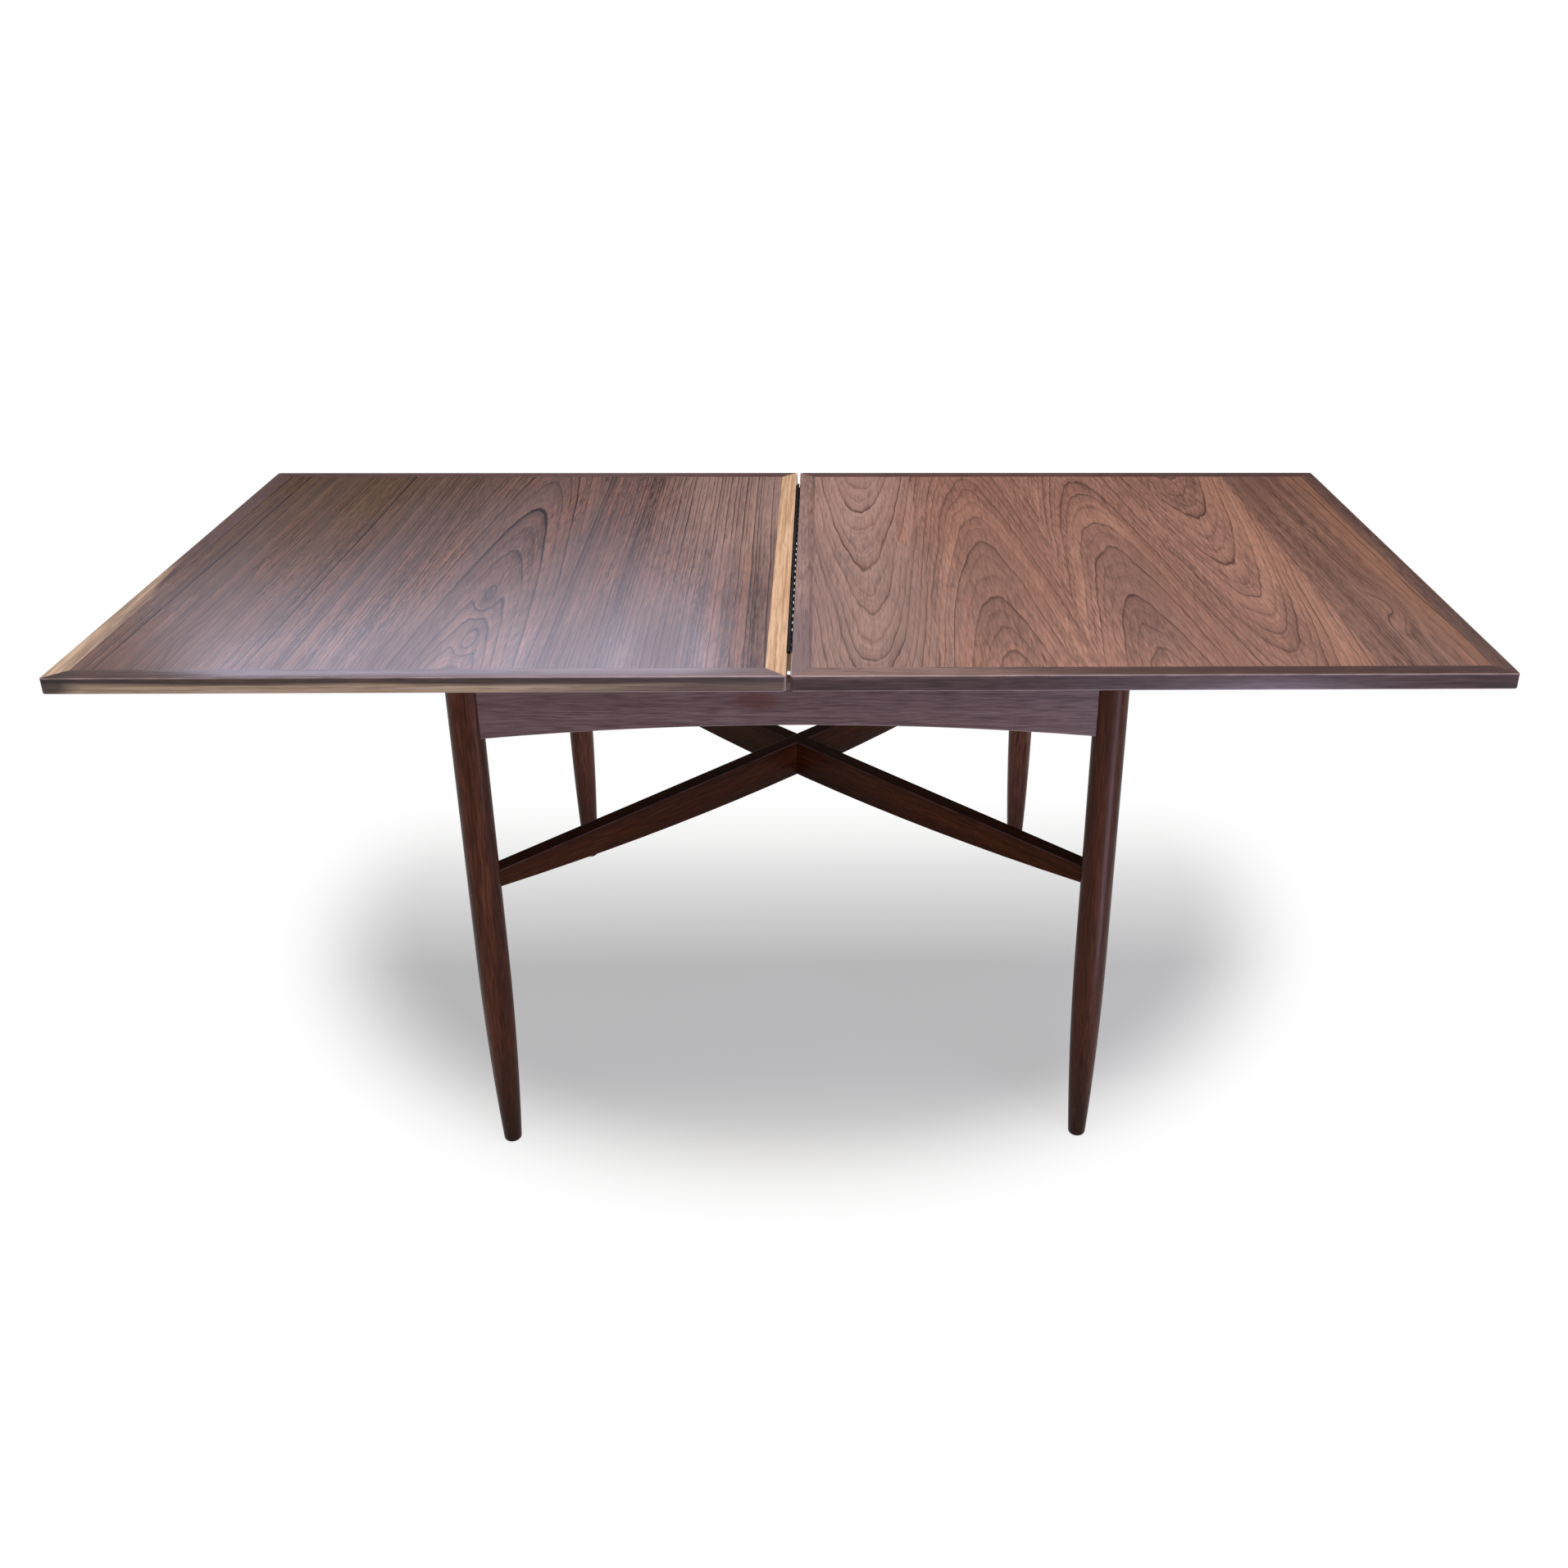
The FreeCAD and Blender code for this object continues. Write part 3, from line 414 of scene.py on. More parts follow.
# Solid lippings of heartwood, darker on top towards the end; paler on top near the seam, which is a painted
# sheen
rail_x = walnut(
    "walnut_lipping_along_x", BROWN_RAIL, **LIPPING_X, gloss=0.2,
    tints=[soft_patch((0.05, -0.437, TOP), (0.3, 0.02, 0.006), "#7d6560", 0.8),
           soft_patch((0.68, -0.435, TOP), (0.45, 0.014, 0.005), "#382520", 0.7)])
rail_y = walnut("walnut_lipping_along_y", RAIL, **LIPPING_Y)
# The seam lipping is paler all over as a painted sheen, and darker again at its front end
rail_seam_sheen_painted = walnut(
    "walnut_lipping_seam_painted_sheen", SEAM_RAIL_SHEEN_PAINTED, **LIPPING_Y,
    tints=[soft_patch((0.015, -0.4, TOP), (0.1, 0.22, 0.1), "#5c4c4f", 0.7)])

# Solid lippings from the edge of the log: tan sapwood all over, at one end, or along the lower edge
sap_seam = walnut(
    "walnut_sapwood_lipping_seam", RAIL, **LIPPING_Y, pores=0.3,
    over=[sapwood(SAP, (0, 1, 0), -0.9, -0.7, 0.3)])
sap_end = walnut(
    "walnut_sapwood_lipping_end", RAIL, **LIPPING_Y, pores=0.3,
    over=[sapwood(GREYED_SAP, (-6, -1, 0), 5.42, 5.76, 0.7)])
sap_front = walnut(
    "walnut_lipping_pale_underneath", DARK_RAIL, **LIPPING_X, roughness=0.28, gloss=0.27, pores=0.3,
    over=[sapwood(TAN_SAP, (-0.003, 0, -1), -0.7313, -0.7273, 0.006),
          soft_patch((-0.02, FRONT, 0.7225), (0.28, 0.02, 0.013), "#55413d", 0.85),
          # Painted sheen: the top is paler and greyer towards the seam
          soft_patch((-0.08, -0.437, TOP), (0.4, 0.03, 0.003), "#6a5c60", 0.8),
          soft_patch((-FAR_END, FRONT, 0.73), (0.04, 0.03, 0.03), "#2e2220", 0.85)])

# Planed aprons, the front one with a reddish knot
apron_front = walnut(
    "walnut_apron_front", APRON, **APRON_CUT,
    tints=[soft_patch((-0.04, -0.418, 0.693), (0.034, 0.05, 0.014), "#5a2c26", 0.8)])
apron_x = walnut("walnut_apron_along_x", APRON, **APRON_CUT)
apron_y = walnut("walnut_apron_along_y", APRON, ALONG_Y, **APRON_CUT)

# Turned legs, stained dark: dull, darker towards the foot and, in front, scuffed
leg_wood = walnut(
    "stained_walnut_turned", STAINED, **TURNED, over=[foot_darkening(FOOT_DARKENING, 0.2), scuffs("#8a6a58", 0.12)])
# The rear legs take a lighter copy of the stain: painted light on them
rear_leg_wood_light_painted = walnut(
    "stained_walnut_turned_rear_light_painted", REAR_STAIN_LIGHT_PAINTED, **TURNED, over=[foot_darkening(FOOT_DARKENING, 0.2)])

# Planed stretchers, stained darkest, with hardly a sheen
stretcher_rise = walnut("stained_walnut_diagonal_a", DEEP_STAIN, (0, 0, math.radians(-45)), **CROSSED)
stretcher_fall = walnut("stained_walnut_diagonal_b", DEEP_STAIN, (0, 0, math.radians(45)), **CROSSED)


# Beech and steel


def beech_wood(name, turn):
    """Planed beech, left bare: pale pinkish tan with short darker flecks, matt."""
    material, tree = new_material(name)
    own = add(tree, "ShaderNodeTexCoord").outputs["Object"]
    placed = add(tree, "ShaderNodeMapping", {"Vector": own, "Rotation": turn})
    # Grain lines 5 mm wide, and flecks 4 mm long and 0.7 mm wide
    grain = mottle(tree, placed, (333.3, 5, 5), 3.0)
    colour = add(tree, "ShaderNodeValToRGB", {"Fac": grain},
                 [(0.3, linear("#a8845f")), (0.5, linear("#bf9b74")), (0.7, linear("#ceb08b"))])
    rays = mottle(tree, placed, (4, 2 / 3, 2 / 3), 0.0)
    flecks = add(tree, "ShaderNodeMapRange", {0: rays, 1: 0.62, 2: 0.74, 4: 0.5})
    colour = add(tree, "ShaderNodeMix", {0: flecks, 6: colour, 7: linear("#8d6746")}, data_type="RGBA")
    relief = add(tree, "ShaderNodeBump", {"Strength": 0.2, "Distance": 0.2 * MM, "Height": grain})
    shader = add(tree, "ShaderNodeBsdfPrincipled", {
        "Base Color": colour, "Roughness": 0.65, "Specular IOR Level": 0.25, "Normal": relief})
    add(tree, "ShaderNodeOutputMaterial", {"Surface": shader})
    return material


def rubbed_steel(name, tone, bright, roughness):
    """Rolled or drawn steel, blackened in oil or bare: dull, rubbed brighter in patches 5.6 mm wide."""
    material, tree = new_material(name)
    own = add(tree, "ShaderNodeTexCoord").outputs["Object"]
    rubbing = mottle(tree, own, (5.556, 5.556, 5.556), 4.0)
    colour = add(tree, "ShaderNodeValToRGB", {"Fac": rubbing}, [(0.4, linear(tone)), (0.75, linear(bright))])
    rough = add(tree, "ShaderNodeMapRange", {0: rubbing, 3: roughness + 0.1, 4: roughness - 0.1})
    shader = add(tree, "ShaderNodeBsdfPrincipled", {
        "Base Color": colour, "Roughness": rough, "Metallic": 1.0})
    add(tree, "ShaderNodeOutputMaterial", {"Surface": shader})
    return material


beech_x = beech_wood("beech_planed_along_x", (0, 0, 0))
beech_blocks = beech_wood("beech_planed_blocks", ALONG_Z)
core_wood = beech_wood("lumber_core", (0, 0, 0))
hinge_steel = rubbed_steel("blackened_steel_hinge", "#0c0b0a", "#1e1c1a", 0.6)
screw_steel = rubbed_steel("plain_steel_screw", "#6b6862", "#9a968e", 0.4)

# Solids that show as they are
FINISHES = {
    "right_leaf_face_veneer": right_face, "left_leaf_face_veneer": left_face,
    "right_leaf_back_veneer": back_face, "left_leaf_back_veneer": back_face,
    "right_leaf_core": core_wood, "left_leaf_core": core_wood,
    "slide_rail_front": beech_x, "slide_rail_rear": beech_x,
    "slide_cleat_front": beech_x, "slide_cleat_rear": beech_x,
    "hinge_pin": hinge_steel, "right_hinge_plate": hinge_steel, "left_hinge_plate": hinge_steel,
}
for corner, _, _ in CORNERS:
    FINISHES[f"glue_block_{corner}"] = beech_blocks
for name, material in FINISHES.items():
    nodes[name].data.materials.clear()
    nodes[name].data.materials.append(material)


# Pieces


def put(name, data):
    """A new object in the scene."""
    made = bpy.data.objects.new(name, data)
    bpy.context.scene.collection.objects.link(made)
    return made


def new_piece(name, mesh, body, slot, material, *stands_for):
    """Put a finished mesh into the scene on its body, in place of solids."""
    mesh.materials.clear()
    mesh.materials.append(material)
    piece = put(name, mesh)
    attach(piece, body)
    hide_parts(*stands_for)


def smooth(mesh, angle):
    """Shade a mesh smooth, with edges sharper than the angle in degrees left sharp."""
    mesh.shade_smooth()
    mesh.set_sharp_from_angle(angle=math.radians(angle))


def plain_mesh(holder):
    """What an object's modifiers make of it, as a mesh of its own."""
    return bpy.data.meshes.new_from_object(holder.evaluated_get(bpy.context.evaluated_depsgraph_get()))


def new_tree(name, inputs):
    """An empty geometry tree with a geometry output and named inputs."""
    tree = bpy.data.node_groups.new(name, "GeometryNodeTree")
    tree.interface.new_socket("Geometry", in_out="INPUT", socket_type="NodeSocketGeometry")
    for label, kind in inputs.items():
        tree.interface.new_socket(label, in_out="INPUT", socket_type=f"NodeSocket{kind}")
    tree.interface.new_socket("Geometry", in_out="OUTPUT", socket_type="NodeSocketGeometry")
    return tree, add(tree, "NodeGroupInput").outputs


def grown(tree, inputs, base=None):
    """Run a geometry tree on a mesh with its named inputs set, and return the result as a plain mesh."""
    holder = put("holder", base or bpy.data.meshes.new("holder"))
    modifier = holder.modifiers.new("grown", "NODES")
    modifier.node_group = tree
    for item in tree.interface.items_tree:
        if item.in_out == "INPUT" and item.name in inputs:
            modifier[item.identifier] = inputs[item.name]
    mesh = plain_mesh(holder)
    bpy.data.objects.remove(holder)
    return mesh


# Aprons and stretchers with paler arrises: rubbed wear and a painted highlight


def board_with_wear_and_highlit_arrises(name, slot, material, angle):
    """A board that lies at the angle in degrees: its bevels, which slope between two faces, are marked to be
    painted paler, as rubbed wear and a painted highlight.
    """
    board = bmesh.new()
    board.from_mesh(nodes[name].data)
    bmesh.ops.remove_doubles(board, verts=board.verts[:], dist=NEAR)
    arris_wear_and_highlight = board.faces.layers.float.new("arris")
    squared_up = Matrix.Rotation(math.radians(-angle), 3, "Z")
    for face in board.faces:
        _, across, up = (abs(part) for part in squared_up @ face.normal)
        face[arris_wear_and_highlight] = 1.0 if across > 0.5 and up > 0.5 else 0.0
    mesh = bpy.data.meshes.new(name)
    board.to_mesh(mesh)
    board.free()
    smooth(mesh, 25)
    new_piece(f"worn_{name}", mesh, "frame", slot, material, name)


board_with_wear_and_highlit_arrises("apron_front", "apron_walnut", apron_front, 0)
board_with_wear_and_highlit_arrises("apron_rear", "apron_walnut", apron_x, 0)
board_with_wear_and_highlit_arrises("apron_left", "apron_walnut", apron_y, 90)
board_with_wear_and_highlit_arrises("apron_right", "apron_walnut", apron_y, 90)
board_with_wear_and_highlit_arrises("stretcher_over", "dark_walnut", stretcher_rise, 45)
board_with_wear_and_highlit_arrises("stretcher_under", "dark_walnut", stretcher_fall, -45)


# Turned legs


def leg_tree(rows=72, sides=64, crowding=3.0):
    """A leg straight for most of its height, then an arc that runs in to a small rounded foot."""
    tree, sizes = new_tree("turned_leg", {
        "Height": "Float", "Radius": "Float", "Foot Radius": "Float", "Foot Round": "Float",
        "Taper Height": "Float", "Place": "Vector", "Wood": "Material",
    })
    line = add(tree, "GeometryNodeMeshLine", {"Count": rows, "Offset": (0, 0, 1 / (rows - 1))})
    # Rows crowd towards the foot, where the outline bends most
    place = add(tree, "GeometryNodeInputPosition")
    share = add(tree, "ShaderNodeSeparateXYZ", {"Vector": place})
    crowded = add(tree, "ShaderNodeMath", {0: share.outputs["Z"], 1: crowding}, operation="POWER")
    height = add(tree, "ShaderNodeMath", {0: crowded, 1: sizes["Height"]}, operation="MULTIPLY")
    raised = add(tree, "ShaderNodeCombineXYZ", {"Z": height})
    line = add(tree, "GeometryNodeSetPosition", {"Geometry": line, "Position": raised})
    axis = add(tree, "GeometryNodeMeshToCurve", {"Mesh": line})
    place = add(tree, "GeometryNodeInputPosition")
    level = add(tree, "ShaderNodeSeparateXYZ", {"Vector": place}).outputs["Z"]
    # Arc of the taper: tangent to the straight part at the taper's height
    inset = add(tree, "ShaderNodeMath", {0: sizes["Radius"], 1: sizes["Foot Radius"]}, operation="SUBTRACT")
    rise = add(tree, "ShaderNodeMath", {0: sizes["Taper Height"], 1: sizes["Foot Round"]},
               operation="SUBTRACT")
    squares = add(tree, "ShaderNodeMath", {0: inset, 1: inset}, operation="MULTIPLY")
    squares = add(tree, "ShaderNodeMath", {0: rise, 1: rise, 2: squares}, operation="MULTIPLY_ADD")
    sweep = add(tree, "ShaderNodeMath", {0: squares, 1: inset}, operation="DIVIDE")
    sweep = add(tree, "ShaderNodeMath", {0: sweep, 1: 0.5}, operation="MULTIPLY")
    below = add(tree, "ShaderNodeMath", {0: sizes["Taper Height"], 1: level}, operation="SUBTRACT")
    below = add(tree, "ShaderNodeMath", {0: below, 1: 0.0}, operation="MAXIMUM")
    reach = add(tree, "ShaderNodeMath", {0: below, 1: below}, operation="MULTIPLY")
    full = add(tree, "ShaderNodeMath", {0: sweep, 1: sweep}, operation="MULTIPLY")
    chord = add(tree, "ShaderNodeMath", {0: full, 1: reach}, operation="SUBTRACT")
    chord = add(tree, "ShaderNodeMath", {0: chord}, operation="SQRT")
    drawn_in = add(tree, "ShaderNodeMath", {0: sweep, 1: chord}, operation="SUBTRACT")
    turned = add(tree, "ShaderNodeMath", {0: sizes["Radius"], 1: drawn_in}, operation="SUBTRACT")
    # Quarter round at the foot
    over = add(tree, "ShaderNodeMath", {0: sizes["Foot Round"], 1: level}, operation="SUBTRACT")
    over = add(tree, "ShaderNodeMath", {0: over, 1: 0.0}, operation="MAXIMUM")
    over = add(tree, "ShaderNodeMath", {0: over, 1: over}, operation="MULTIPLY")
    round_square = add(tree, "ShaderNodeMath", {0: sizes["Foot Round"], 1: sizes["Foot Round"]},
                       operation="MULTIPLY")
    arch = add(tree, "ShaderNodeMath", {0: round_square, 1: over}, operation="SUBTRACT")
    arch = add(tree, "ShaderNodeMath", {0: arch}, operation="SQRT")
    cut_back = add(tree, "ShaderNodeMath", {0: sizes["Foot Round"], 1: arch}, operation="SUBTRACT")
    turned = add(tree, "ShaderNodeMath", {0: turned, 1: cut_back}, operation="SUBTRACT")
    ring = add(tree, "GeometryNodeCurvePrimitiveCircle", {"Resolution": sides, "Radius": 1.0})
    skin = add(tree, "GeometryNodeCurveToMesh", {
        "Curve": axis, "Profile Curve": ring.outputs["Curve"], "Scale": turned, "Fill Caps": True})
    skin = add(tree, "GeometryNodeTransform", {"Geometry": skin, "Translation": sizes["Place"]})
    skin = add(tree, "GeometryNodeRealizeInstances", {"Geometry": skin})
    skin = add(tree, "GeometryNodeSetMaterial", {"Geometry": skin, "Material": sizes["Wood"]})
    add(tree, "NodeGroupOutput", {"Geometry": skin})
    return tree


turned_leg = leg_tree()
for corner, side_x, side_y in CORNERS:
    wood = leg_wood if side_y < 0 else rear_leg_wood_light_painted
    mesh = grown(turned_leg, {
        "Height": LEG_HEIGHT, "Radius": LEG_RADIUS, "Foot Radius": FOOT_RADIUS, "Foot Round": FOOT_ROUND,
        "Taper Height": TAPER_HEIGHT, "Place": (side_x * LEG_AXIS, side_y * LEG_AXIS, 0), "Wood": wood,
    })
    smooth(mesh, 40)
    new_piece(f"turned_leg_{corner}", mesh, "frame", "dark_walnut", wood, f"leg_{corner}")


# Mitred lipping round each leaf, with rounded arrises


def raise_copy(shape, geom, height):
    """Lift what an extrusion made."""
    bmesh.ops.translate(
        shape, vec=(0, 0, height), verts=[part for part in geom if isinstance(part, bmesh.types.BMVert)])


def lipping_mesh(name, hinged, place, steps=6, segments=4):
    """A rail along local X with its outer face at y = 0 and its underside at z = 0, moved into place."""
    shape = bmesh.new()
    bend = [math.radians(45 * step / steps) for step in range(steps + 1)]
    left = [(CORNER - CORNER * math.sin(a), CORNER - CORNER * math.cos(a)) for a in reversed(bend)]
    right = [(LEAF - x, y) for x, y in reversed(left)]
    outline = [(BORDER, BORDER), *left, *right, (LEAF - BORDER, BORDER)]
    face = shape.faces.new([shape.verts.new((x, y, 0)) for x, y in outline])
    raise_copy(shape, bmesh.ops.extrude_face_region(shape, geom=[face])["geom"], THICK)
    bmesh.ops.recalc_face_normals(shape, faces=shape.faces[:])
    arris_wear_and_highlight = shape.faces.layers.float.new("arris")
    outer = CORNER * (1 - math.cos(math.radians(45))) + NEAR
    arrises = []
    for edge in shape.edges:
        one, other = (vert.co for vert in edge.verts)
        if max(one.y, other.y) < outer and abs(one.z - other.z) < NEAR:
            arrises.append(edge)
    bevels = bmesh.ops.bevel(
        shape, geom=arrises, offset=ARRIS, segments=segments, profile=0.5, affect="EDGES")
    # The rounded arrises are marked to be painted paler: rubbed wear and a painted highlight
    for rounded in bevels["faces"]:
        rounded[arris_wear_and_highlight] = 1.0
    if hinged:
        cut_seat(shape)
    shape.transform(place)
    mesh = bpy.data.meshes.new(name)
    shape.to_mesh(mesh)
    shape.free()
    smooth(mesh, 30)
    return mesh


def cut_seat(shape):
    """Let the hinge plate into the seam edge: the seat is open to the top of the rail."""
    solid = bpy.data.meshes.new("rail")
    shape.to_mesh(solid)
    holder = put("rail", solid)
    cutter = bpy.data.meshes.new("seat")
    block = bmesh.new()
    size = Matrix.Diagonal((HINGE_LENGTH + HINGE_SEAT_ROOM, 2 * HINGE_SEAT_DEPTH, THICK, 1))
    middle = Matrix.Translation((LEAF / 2, 0, HINGE_SEAT_FLOOR + THICK / 2))
    bmesh.ops.create_cube(block, size=1.0, matrix=middle @ size)
    block.to_mesh(cutter)
    block.free()
    tool = put("seat", cutter)
    cut = holder.modifiers.new("seat", "BOOLEAN")
    cut.object = tool
    cut.solver = "EXACT"
    shape.clear()
    shape.from_mesh(plain_mesh(holder))
    for done in (holder, tool):
        bpy.data.objects.remove(done)


LIPPING_WOODS = {
    "right": {"front": rail_x, "rear": rail_x, "end": rail_y, "seam": rail_seam_sheen_painted},
    "left": {"front": sap_front, "rear": rail_x, "end": sap_end, "seam": sap_seam},
}
for leaf, side, body in LEAVES:
    # The left leaf is the right one turned half round, so its front and rear change places
    front, rear, half_turn = ("front", "rear", 0) if side > 0 else ("rear", "front", 180)
    near, far, half = SEAM / 2, FAR_END, LEAF / 2
    for edge, x, y, angle in ((front, near, -half, 0), ("end", far, -half, 90), (rear, far, half, 180),
                              ("seam", near, half, 270)):
        turned = Matrix.Rotation(math.radians(angle + half_turn), 4, "Z")
        place = Matrix.Translation((side * x, side * y, UNDER)) @ turned
        mesh = lipping_mesh(f"{leaf}_lipping_{edge}", edge == "seam", place)
        wood = LIPPING_WOODS[leaf][edge]
        slot = "sapwood_rail" if wood in (sap_seam, sap_end) else "walnut_rail"
        new_piece(f"{leaf}_lipping_{edge}", mesh, body, slot, wood, f"{leaf}_leaf_rail_{edge}")


# Slotted screws


def screw_tree(head_sides=32, shank_sides=16, tip_radius=0.2 * MM, slot_length=100 * MM):
    """A screw on each point of a mesh, pointing up until it is aimed: a slotted head and a shank."""
    tree, sizes = new_tree("slotted_screws", {
        "Head Radius": "Float", "Neck Radius": "Float", "Head Height": "Float", "Shank Radius": "Float",
        "Length": "Float", "Slot Width": "Float", "Slot Depth": "Float", "Aim": "Rotation",
        "Steel": "Material",
    })
    head = add(tree, "GeometryNodeMeshCone", {
        "Vertices": head_sides, "Radius Top": sizes["Neck Radius"], "Radius Bottom": sizes["Head Radius"],
        "Depth": sizes["Head Height"]})
    groove = add(tree, "ShaderNodeCombineXYZ", {
        "X": slot_length, "Y": sizes["Slot Width"], "Z": sizes["Slot Depth"]})
    slot = add(tree, "GeometryNodeMeshCube", {"Size": groove})
    head = add(tree, "GeometryNodeMeshBoolean", {
        "Mesh 1": head.outputs["Mesh"], "Mesh 2": slot.outputs["Mesh"]},
        operation="DIFFERENCE", solver="EXACT")
    shank = add(tree, "GeometryNodeMeshCone", {
        "Vertices": shank_sides, "Radius Top": tip_radius, "Radius Bottom": sizes["Shank Radius"],
        "Depth": sizes["Length"]})
    lift = add(tree, "ShaderNodeCombineXYZ", {"Z": sizes["Head Height"]})
    shank = add(tree, "GeometryNodeTransform", {"Geometry": shank.outputs["Mesh"], "Translation": lift})
    screw = add(tree, "GeometryNodeJoinGeometry", {"Geometry": shank})
    tree.links.new(head.outputs["Mesh"], screw.inputs["Geometry"])
    points = add(tree, "GeometryNodeMeshToPoints", {"Mesh": sizes["Geometry"]})
    set_out = add(tree, "GeometryNodeInstanceOnPoints", {
        "Points": points, "Instance": screw, "Rotation": sizes["Aim"]})
    made = add(tree, "GeometryNodeRealizeInstances", {"Geometry": set_out})
    made = add(tree, "GeometryNodeSetMaterial", {"Geometry": made, "Material": sizes["Steel"]})
    add(tree, "NodeGroupOutput", {"Geometry": made})
    return tree


def set_screws(name, body, sizes, places, aim, stands_for):
    """Set screws of the given sizes in millimetres, with their heads at the places."""
    spots = bpy.data.meshes.new("spots")
    spots.from_pydata(places, [], [])
    inputs = {label: size * MM for label, size in sizes.items()}
    mesh = grown(slotted_screws, {**inputs, "Aim": aim, "Steel": screw_steel}, spots)
    new_piece(name, mesh, body, "screw_steel", screw_steel, stands_for)


slotted_screws = screw_tree()
CLEAT_SCREW = {
    "Head Radius": 4, "Neck Radius": 4, "Head Height": 3, "Shank Radius": 2, "Length": 35,
    "Slot Width": 1.2, "Slot Depth": 2.4,
}
HINGE_SCREW = {
    "Head Radius": 2.5, "Neck Radius": 1.4, "Head Height": 1.1, "Shank Radius": 1.4, "Length": 14.9,
    "Slot Width": 0.8, "Slot Depth": 1,
}
cleat_rows = [
    (CLEAT_MIDDLE + step * CLEAT_SCREW_SPACING, side * CLEAT_SCREW_ROW, CLEAT_SCREW_HEIGHT)
    for side in (-1, 1) for step in (-1, 0, 1)
]
set_screws("cleat_screws", "sliding_leaf", CLEAT_SCREW, cleat_rows, (0, 0, 0), "slide_cleat_screws")
for leaf, side, body in LEAVES:
    hinge_row = [(side * SEAM / 2, step * HINGE_SCREW_SPACING, HINGE_SCREW_HEIGHT) for step in range(-4, 5)]
    set_screws(f"{leaf}_seam_screws", body, HINGE_SCREW, hinge_row, (0, math.radians(90 * side), 0),
               f"{leaf}_hinge_screws")


# Floor, light and camera

# The shadow lies in a disc with a soft rim, and dies away towards the rear
SHADOW_MIDDLE = (0, 0.336, 0)
SHADOW_OUTSIDE, SHADOW_INSIDE = 0.95, 0.69
SHADOW_REAR, SHADOW_FULL = 0.615, 0.022
LEAST_WHITE = 0.35


def floor_material():
    """Matt white floor: takes the shadow under the table and fades to plain white round it."""
    material, tree = new_material("white_floor")
    own = add(tree, "ShaderNodeTexCoord").outputs["Object"]
    away = away_from(tree, own, SHADOW_MIDDLE, (1, 1, 1))
    rim = add(tree, "ShaderNodeMapRange", {0: away, 1: SHADOW_OUTSIDE, 2: SHADOW_INSIDE},
              interpolation_type="SMOOTHSTEP")
    rearward = add(tree, "ShaderNodeSeparateXYZ", {"Vector": own}).outputs["Y"]
    rear = add(tree, "ShaderNodeMapRange", {0: rearward, 1: SHADOW_REAR, 2: SHADOW_FULL})
    dark = add(tree, "ShaderNodeMath", {0: rim, 1: rear}, operation="MULTIPLY")
    fade = add(tree, "ShaderNodeMapRange", {0: dark, 3: 1.0, 4: LEAST_WHITE})
    rays = add(tree, "ShaderNodeLightPath")
    seen = add(tree, "ShaderNodeMath", {
        0: rays.outputs["Is Camera Ray"], 1: rays.outputs["Is Glossy Ray"]}, operation="MAXIMUM")
    seen = add(tree, "ShaderNodeMath", {0: seen, 1: rays.outputs["Is Transmission Ray"]}, operation="MAXIMUM")
    share = add(tree, "ShaderNodeMath", {0: fade, 1: seen}, operation="MULTIPLY")
    paint = add(tree, "ShaderNodeBsdfDiffuse", {"Color": linear("#f4f3e6")})
    white = add(tree, "ShaderNodeEmission", {"Color": grey(1.0), "Strength": 1.0})
    shader = add(tree, "ShaderNodeMixShader", {0: share, 1: paint, 2: white})
    add(tree, "ShaderNodeOutputMaterial", {"Surface": shader})
    return material


# A disc with a low wall round its far edge, which hides the horizon
FLOOR_RADIUS, WALL_HEIGHT, FLOOR_SIDES = 60, 22, 96
floor_mesh = bpy.data.meshes.new("floor")
disc = bmesh.new()
bmesh.ops.create_circle(disc, cap_ends=True, segments=FLOOR_SIDES, radius=FLOOR_RADIUS)
edge_of_floor = [edge for edge in disc.edges if edge.is_boundary]
raise_copy(disc, bmesh.ops.extrude_edge_only(disc, edges=edge_of_floor)["geom"], WALL_HEIGHT)
disc.to_mesh(floor_mesh)
disc.free()
floor_mesh.materials.append(floor_material())
floor = put("floor", floor_mesh)

world = bpy.data.worlds.new("studio")
world.use_nodes = True
world.node_tree.nodes.clear()
sky = add(world.node_tree, "ShaderNodeBackground", {"Color": linear("#fbfbff"), "Strength": 0.3})
add(world.node_tree, "ShaderNodeOutputWorld", {"Surface": sky})
bpy.context.scene.world = world


def softbox(name, place, target, size, power, colour, lights=True, shines=True):
    """An area light aimed at the target: it lights what it falls on, shines in it as a sheen, or both."""
    light = bpy.data.lights.new(name, "AREA")
    light.shape = "RECTANGLE"
    light.size, light.size_y = size
    light.energy = power
    light.color = linear(colour)[:3]
    lamp = put(name, light)
    lamp.location = place
    lamp.rotation_euler = (Vector(target) - Vector(place)).to_track_quat("-Z", "Y").to_euler()
    lamp.visible_camera = False
    lamp.visible_diffuse = lights
    lamp.visible_glossy = shines


# Places and targets in metres, sizes in metres, power in watts
softbox("overhead", (0.15, -0.1, 2.5), (0.15, -0.1, 0.7), (1.6, 1.6), 58, "#fff8f2")
softbox("window", (-0.765, 0.95, 1.42), (-0.49, -0.43, 0.74), (1.19, 0.3), 6.55, "#e0e2ff", lights=False)
softbox("front_fill", (1.4, -3.2, 0.9), (0.1, -0.4, 0.5), (2.4, 1.5), 70, "#bcc8ff", shines=False)
softbox("side_sheen", (0.72, -0.8, 0.3), (0.407, -0.407, 0.38), (0.16, 0.6), 5, "#dcd8f8", lights=False)

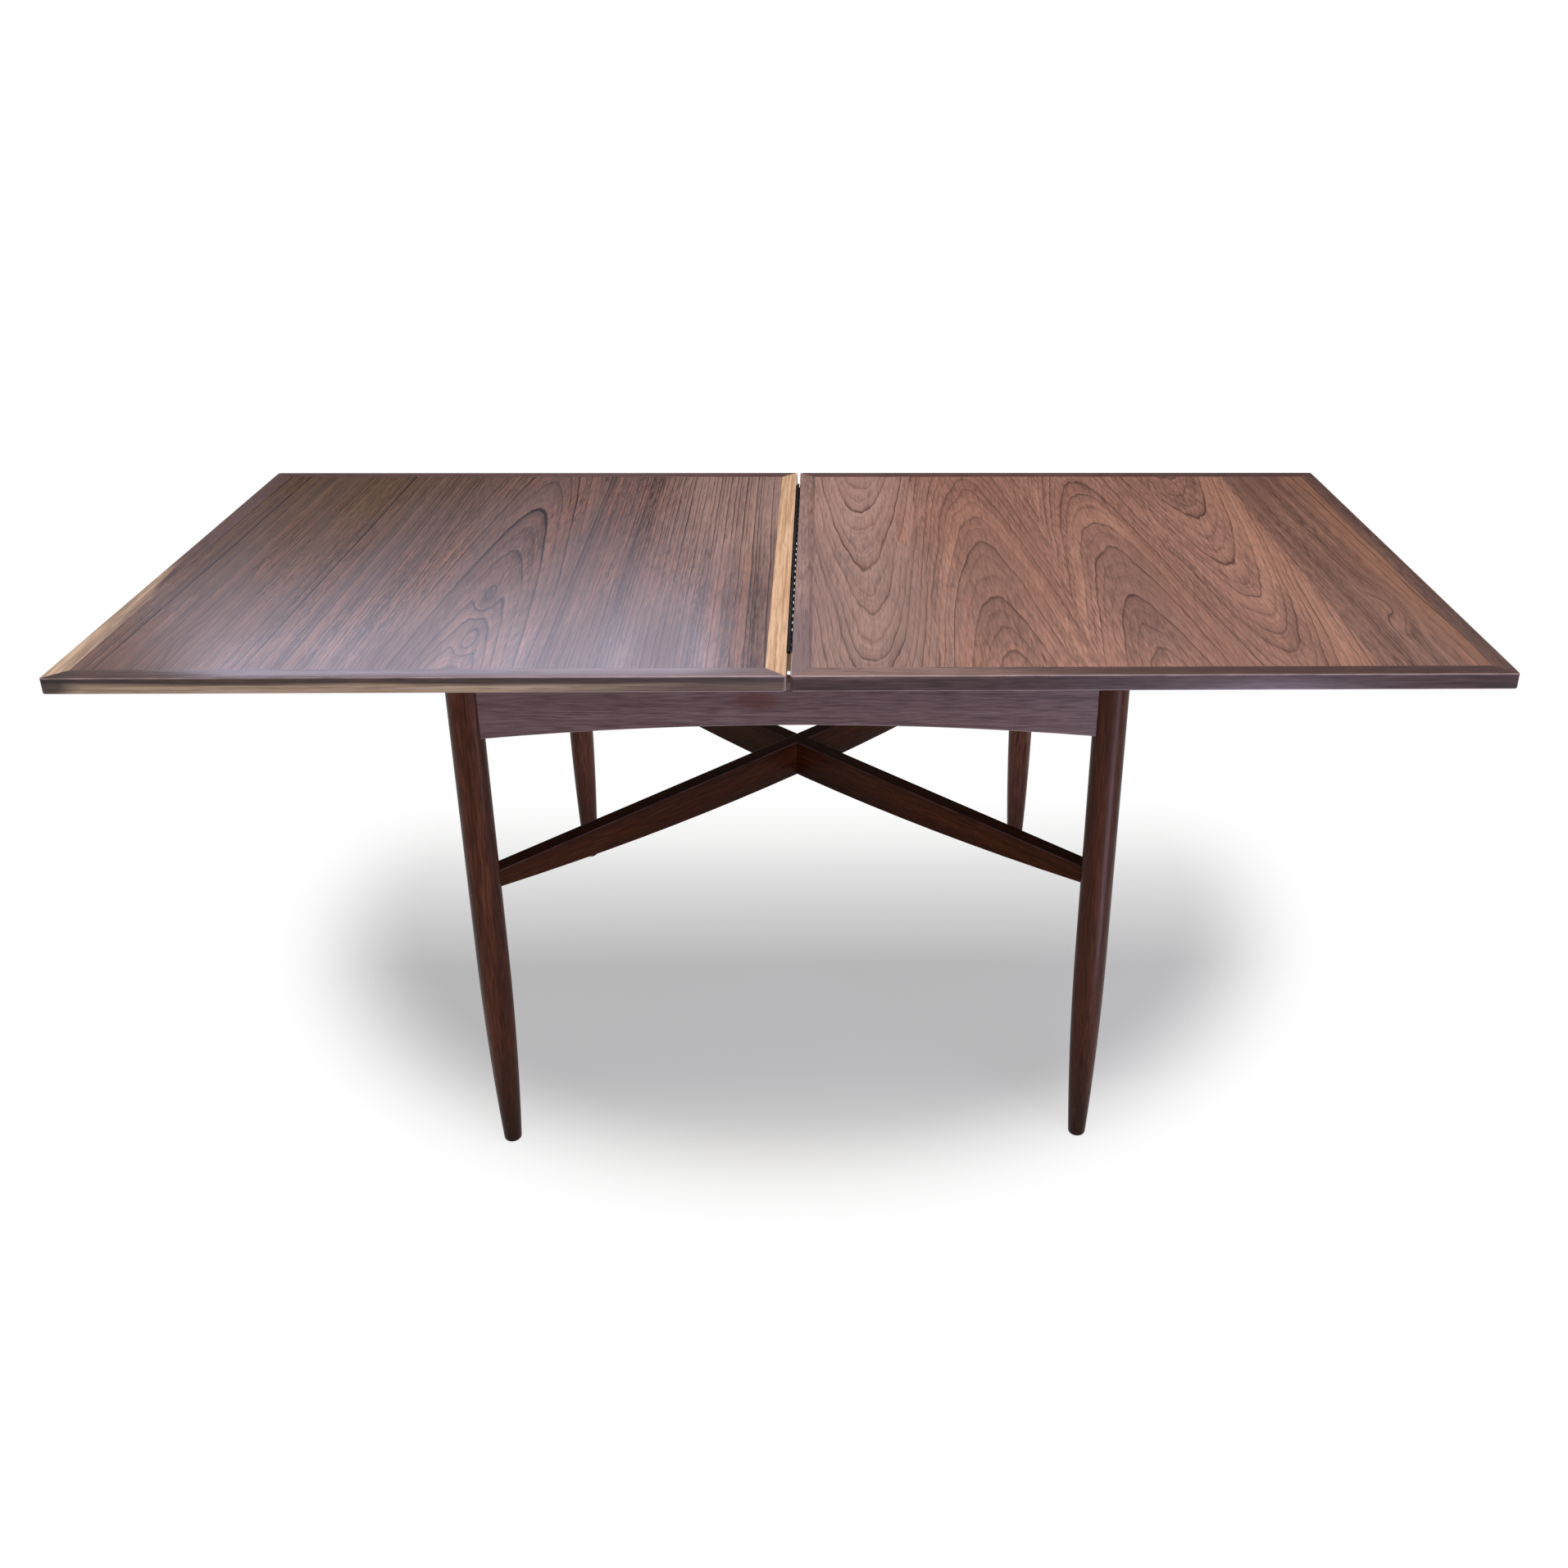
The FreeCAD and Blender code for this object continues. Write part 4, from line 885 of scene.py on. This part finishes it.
# A screen of black cloth behind the table, which swallows light and is out of the camera's sight:
# it keeps the white surroundings off the far half of the top
SCREEN_HALF, SCREEN_BACK, SCREEN_LOW, SCREEN_HIGH = 2.2, 1.7, 0.8, 1.4
screen_mesh = bpy.data.meshes.new("dark_screen")
screen_mesh.from_pydata([
    (-SCREEN_HALF, SCREEN_BACK, SCREEN_LOW), (SCREEN_HALF, SCREEN_BACK, SCREEN_LOW),
    (SCREEN_HALF, SCREEN_BACK, SCREEN_HIGH), (-SCREEN_HALF, SCREEN_BACK, SCREEN_HIGH),
], [], [(0, 1, 2, 3)])
cloth, cloth_tree = new_material("black_cloth")
matt_black = add(cloth_tree, "ShaderNodeBsdfDiffuse", {"Color": linear("#1a1a1a")})
add(cloth_tree, "ShaderNodeOutputMaterial", {"Surface": matt_black})
screen_mesh.materials.append(cloth)
screen = put("dark_screen", screen_mesh)
screen.visible_camera = False

# Camera at the photograph's place: sensor in mm, focal length and optical centre in pixels, angles in radians
SENSOR_WIDTH = 36
IMAGE = 1913
FOCAL = 1869.48
CENTRE = (1053.01, 881.34)
PITCH, YAW, ROLL = 0.436574, 0.026042, -0.006853
EYE = (0.047144, -2.166478, 1.478544)
ahead = Vector((math.sin(YAW) * math.cos(PITCH), math.cos(YAW) * math.cos(PITCH), -math.sin(PITCH)))
level = Vector((math.cos(YAW), -math.sin(YAW), 0))
down = ahead.cross(level)
side_axis = math.cos(ROLL) * level + math.sin(ROLL) * down
down_axis = -math.sin(ROLL) * level + math.cos(ROLL) * down
lens = bpy.data.cameras.new("camera")
lens.sensor_width = SENSOR_WIDTH
lens.lens = FOCAL / IMAGE * lens.sensor_width
lens.shift_x = (IMAGE / 2 - CENTRE[0]) / IMAGE
lens.shift_y = (CENTRE[1] - IMAGE / 2) / IMAGE
camera = put("camera", lens)
facing = Matrix((side_axis, -down_axis, -ahead)).transposed()
camera.matrix_world = Matrix.Translation(EYE) @ facing.to_4x4()
bpy.context.scene.camera = camera
bpy.context.scene.view_settings.view_transform = "Standard"
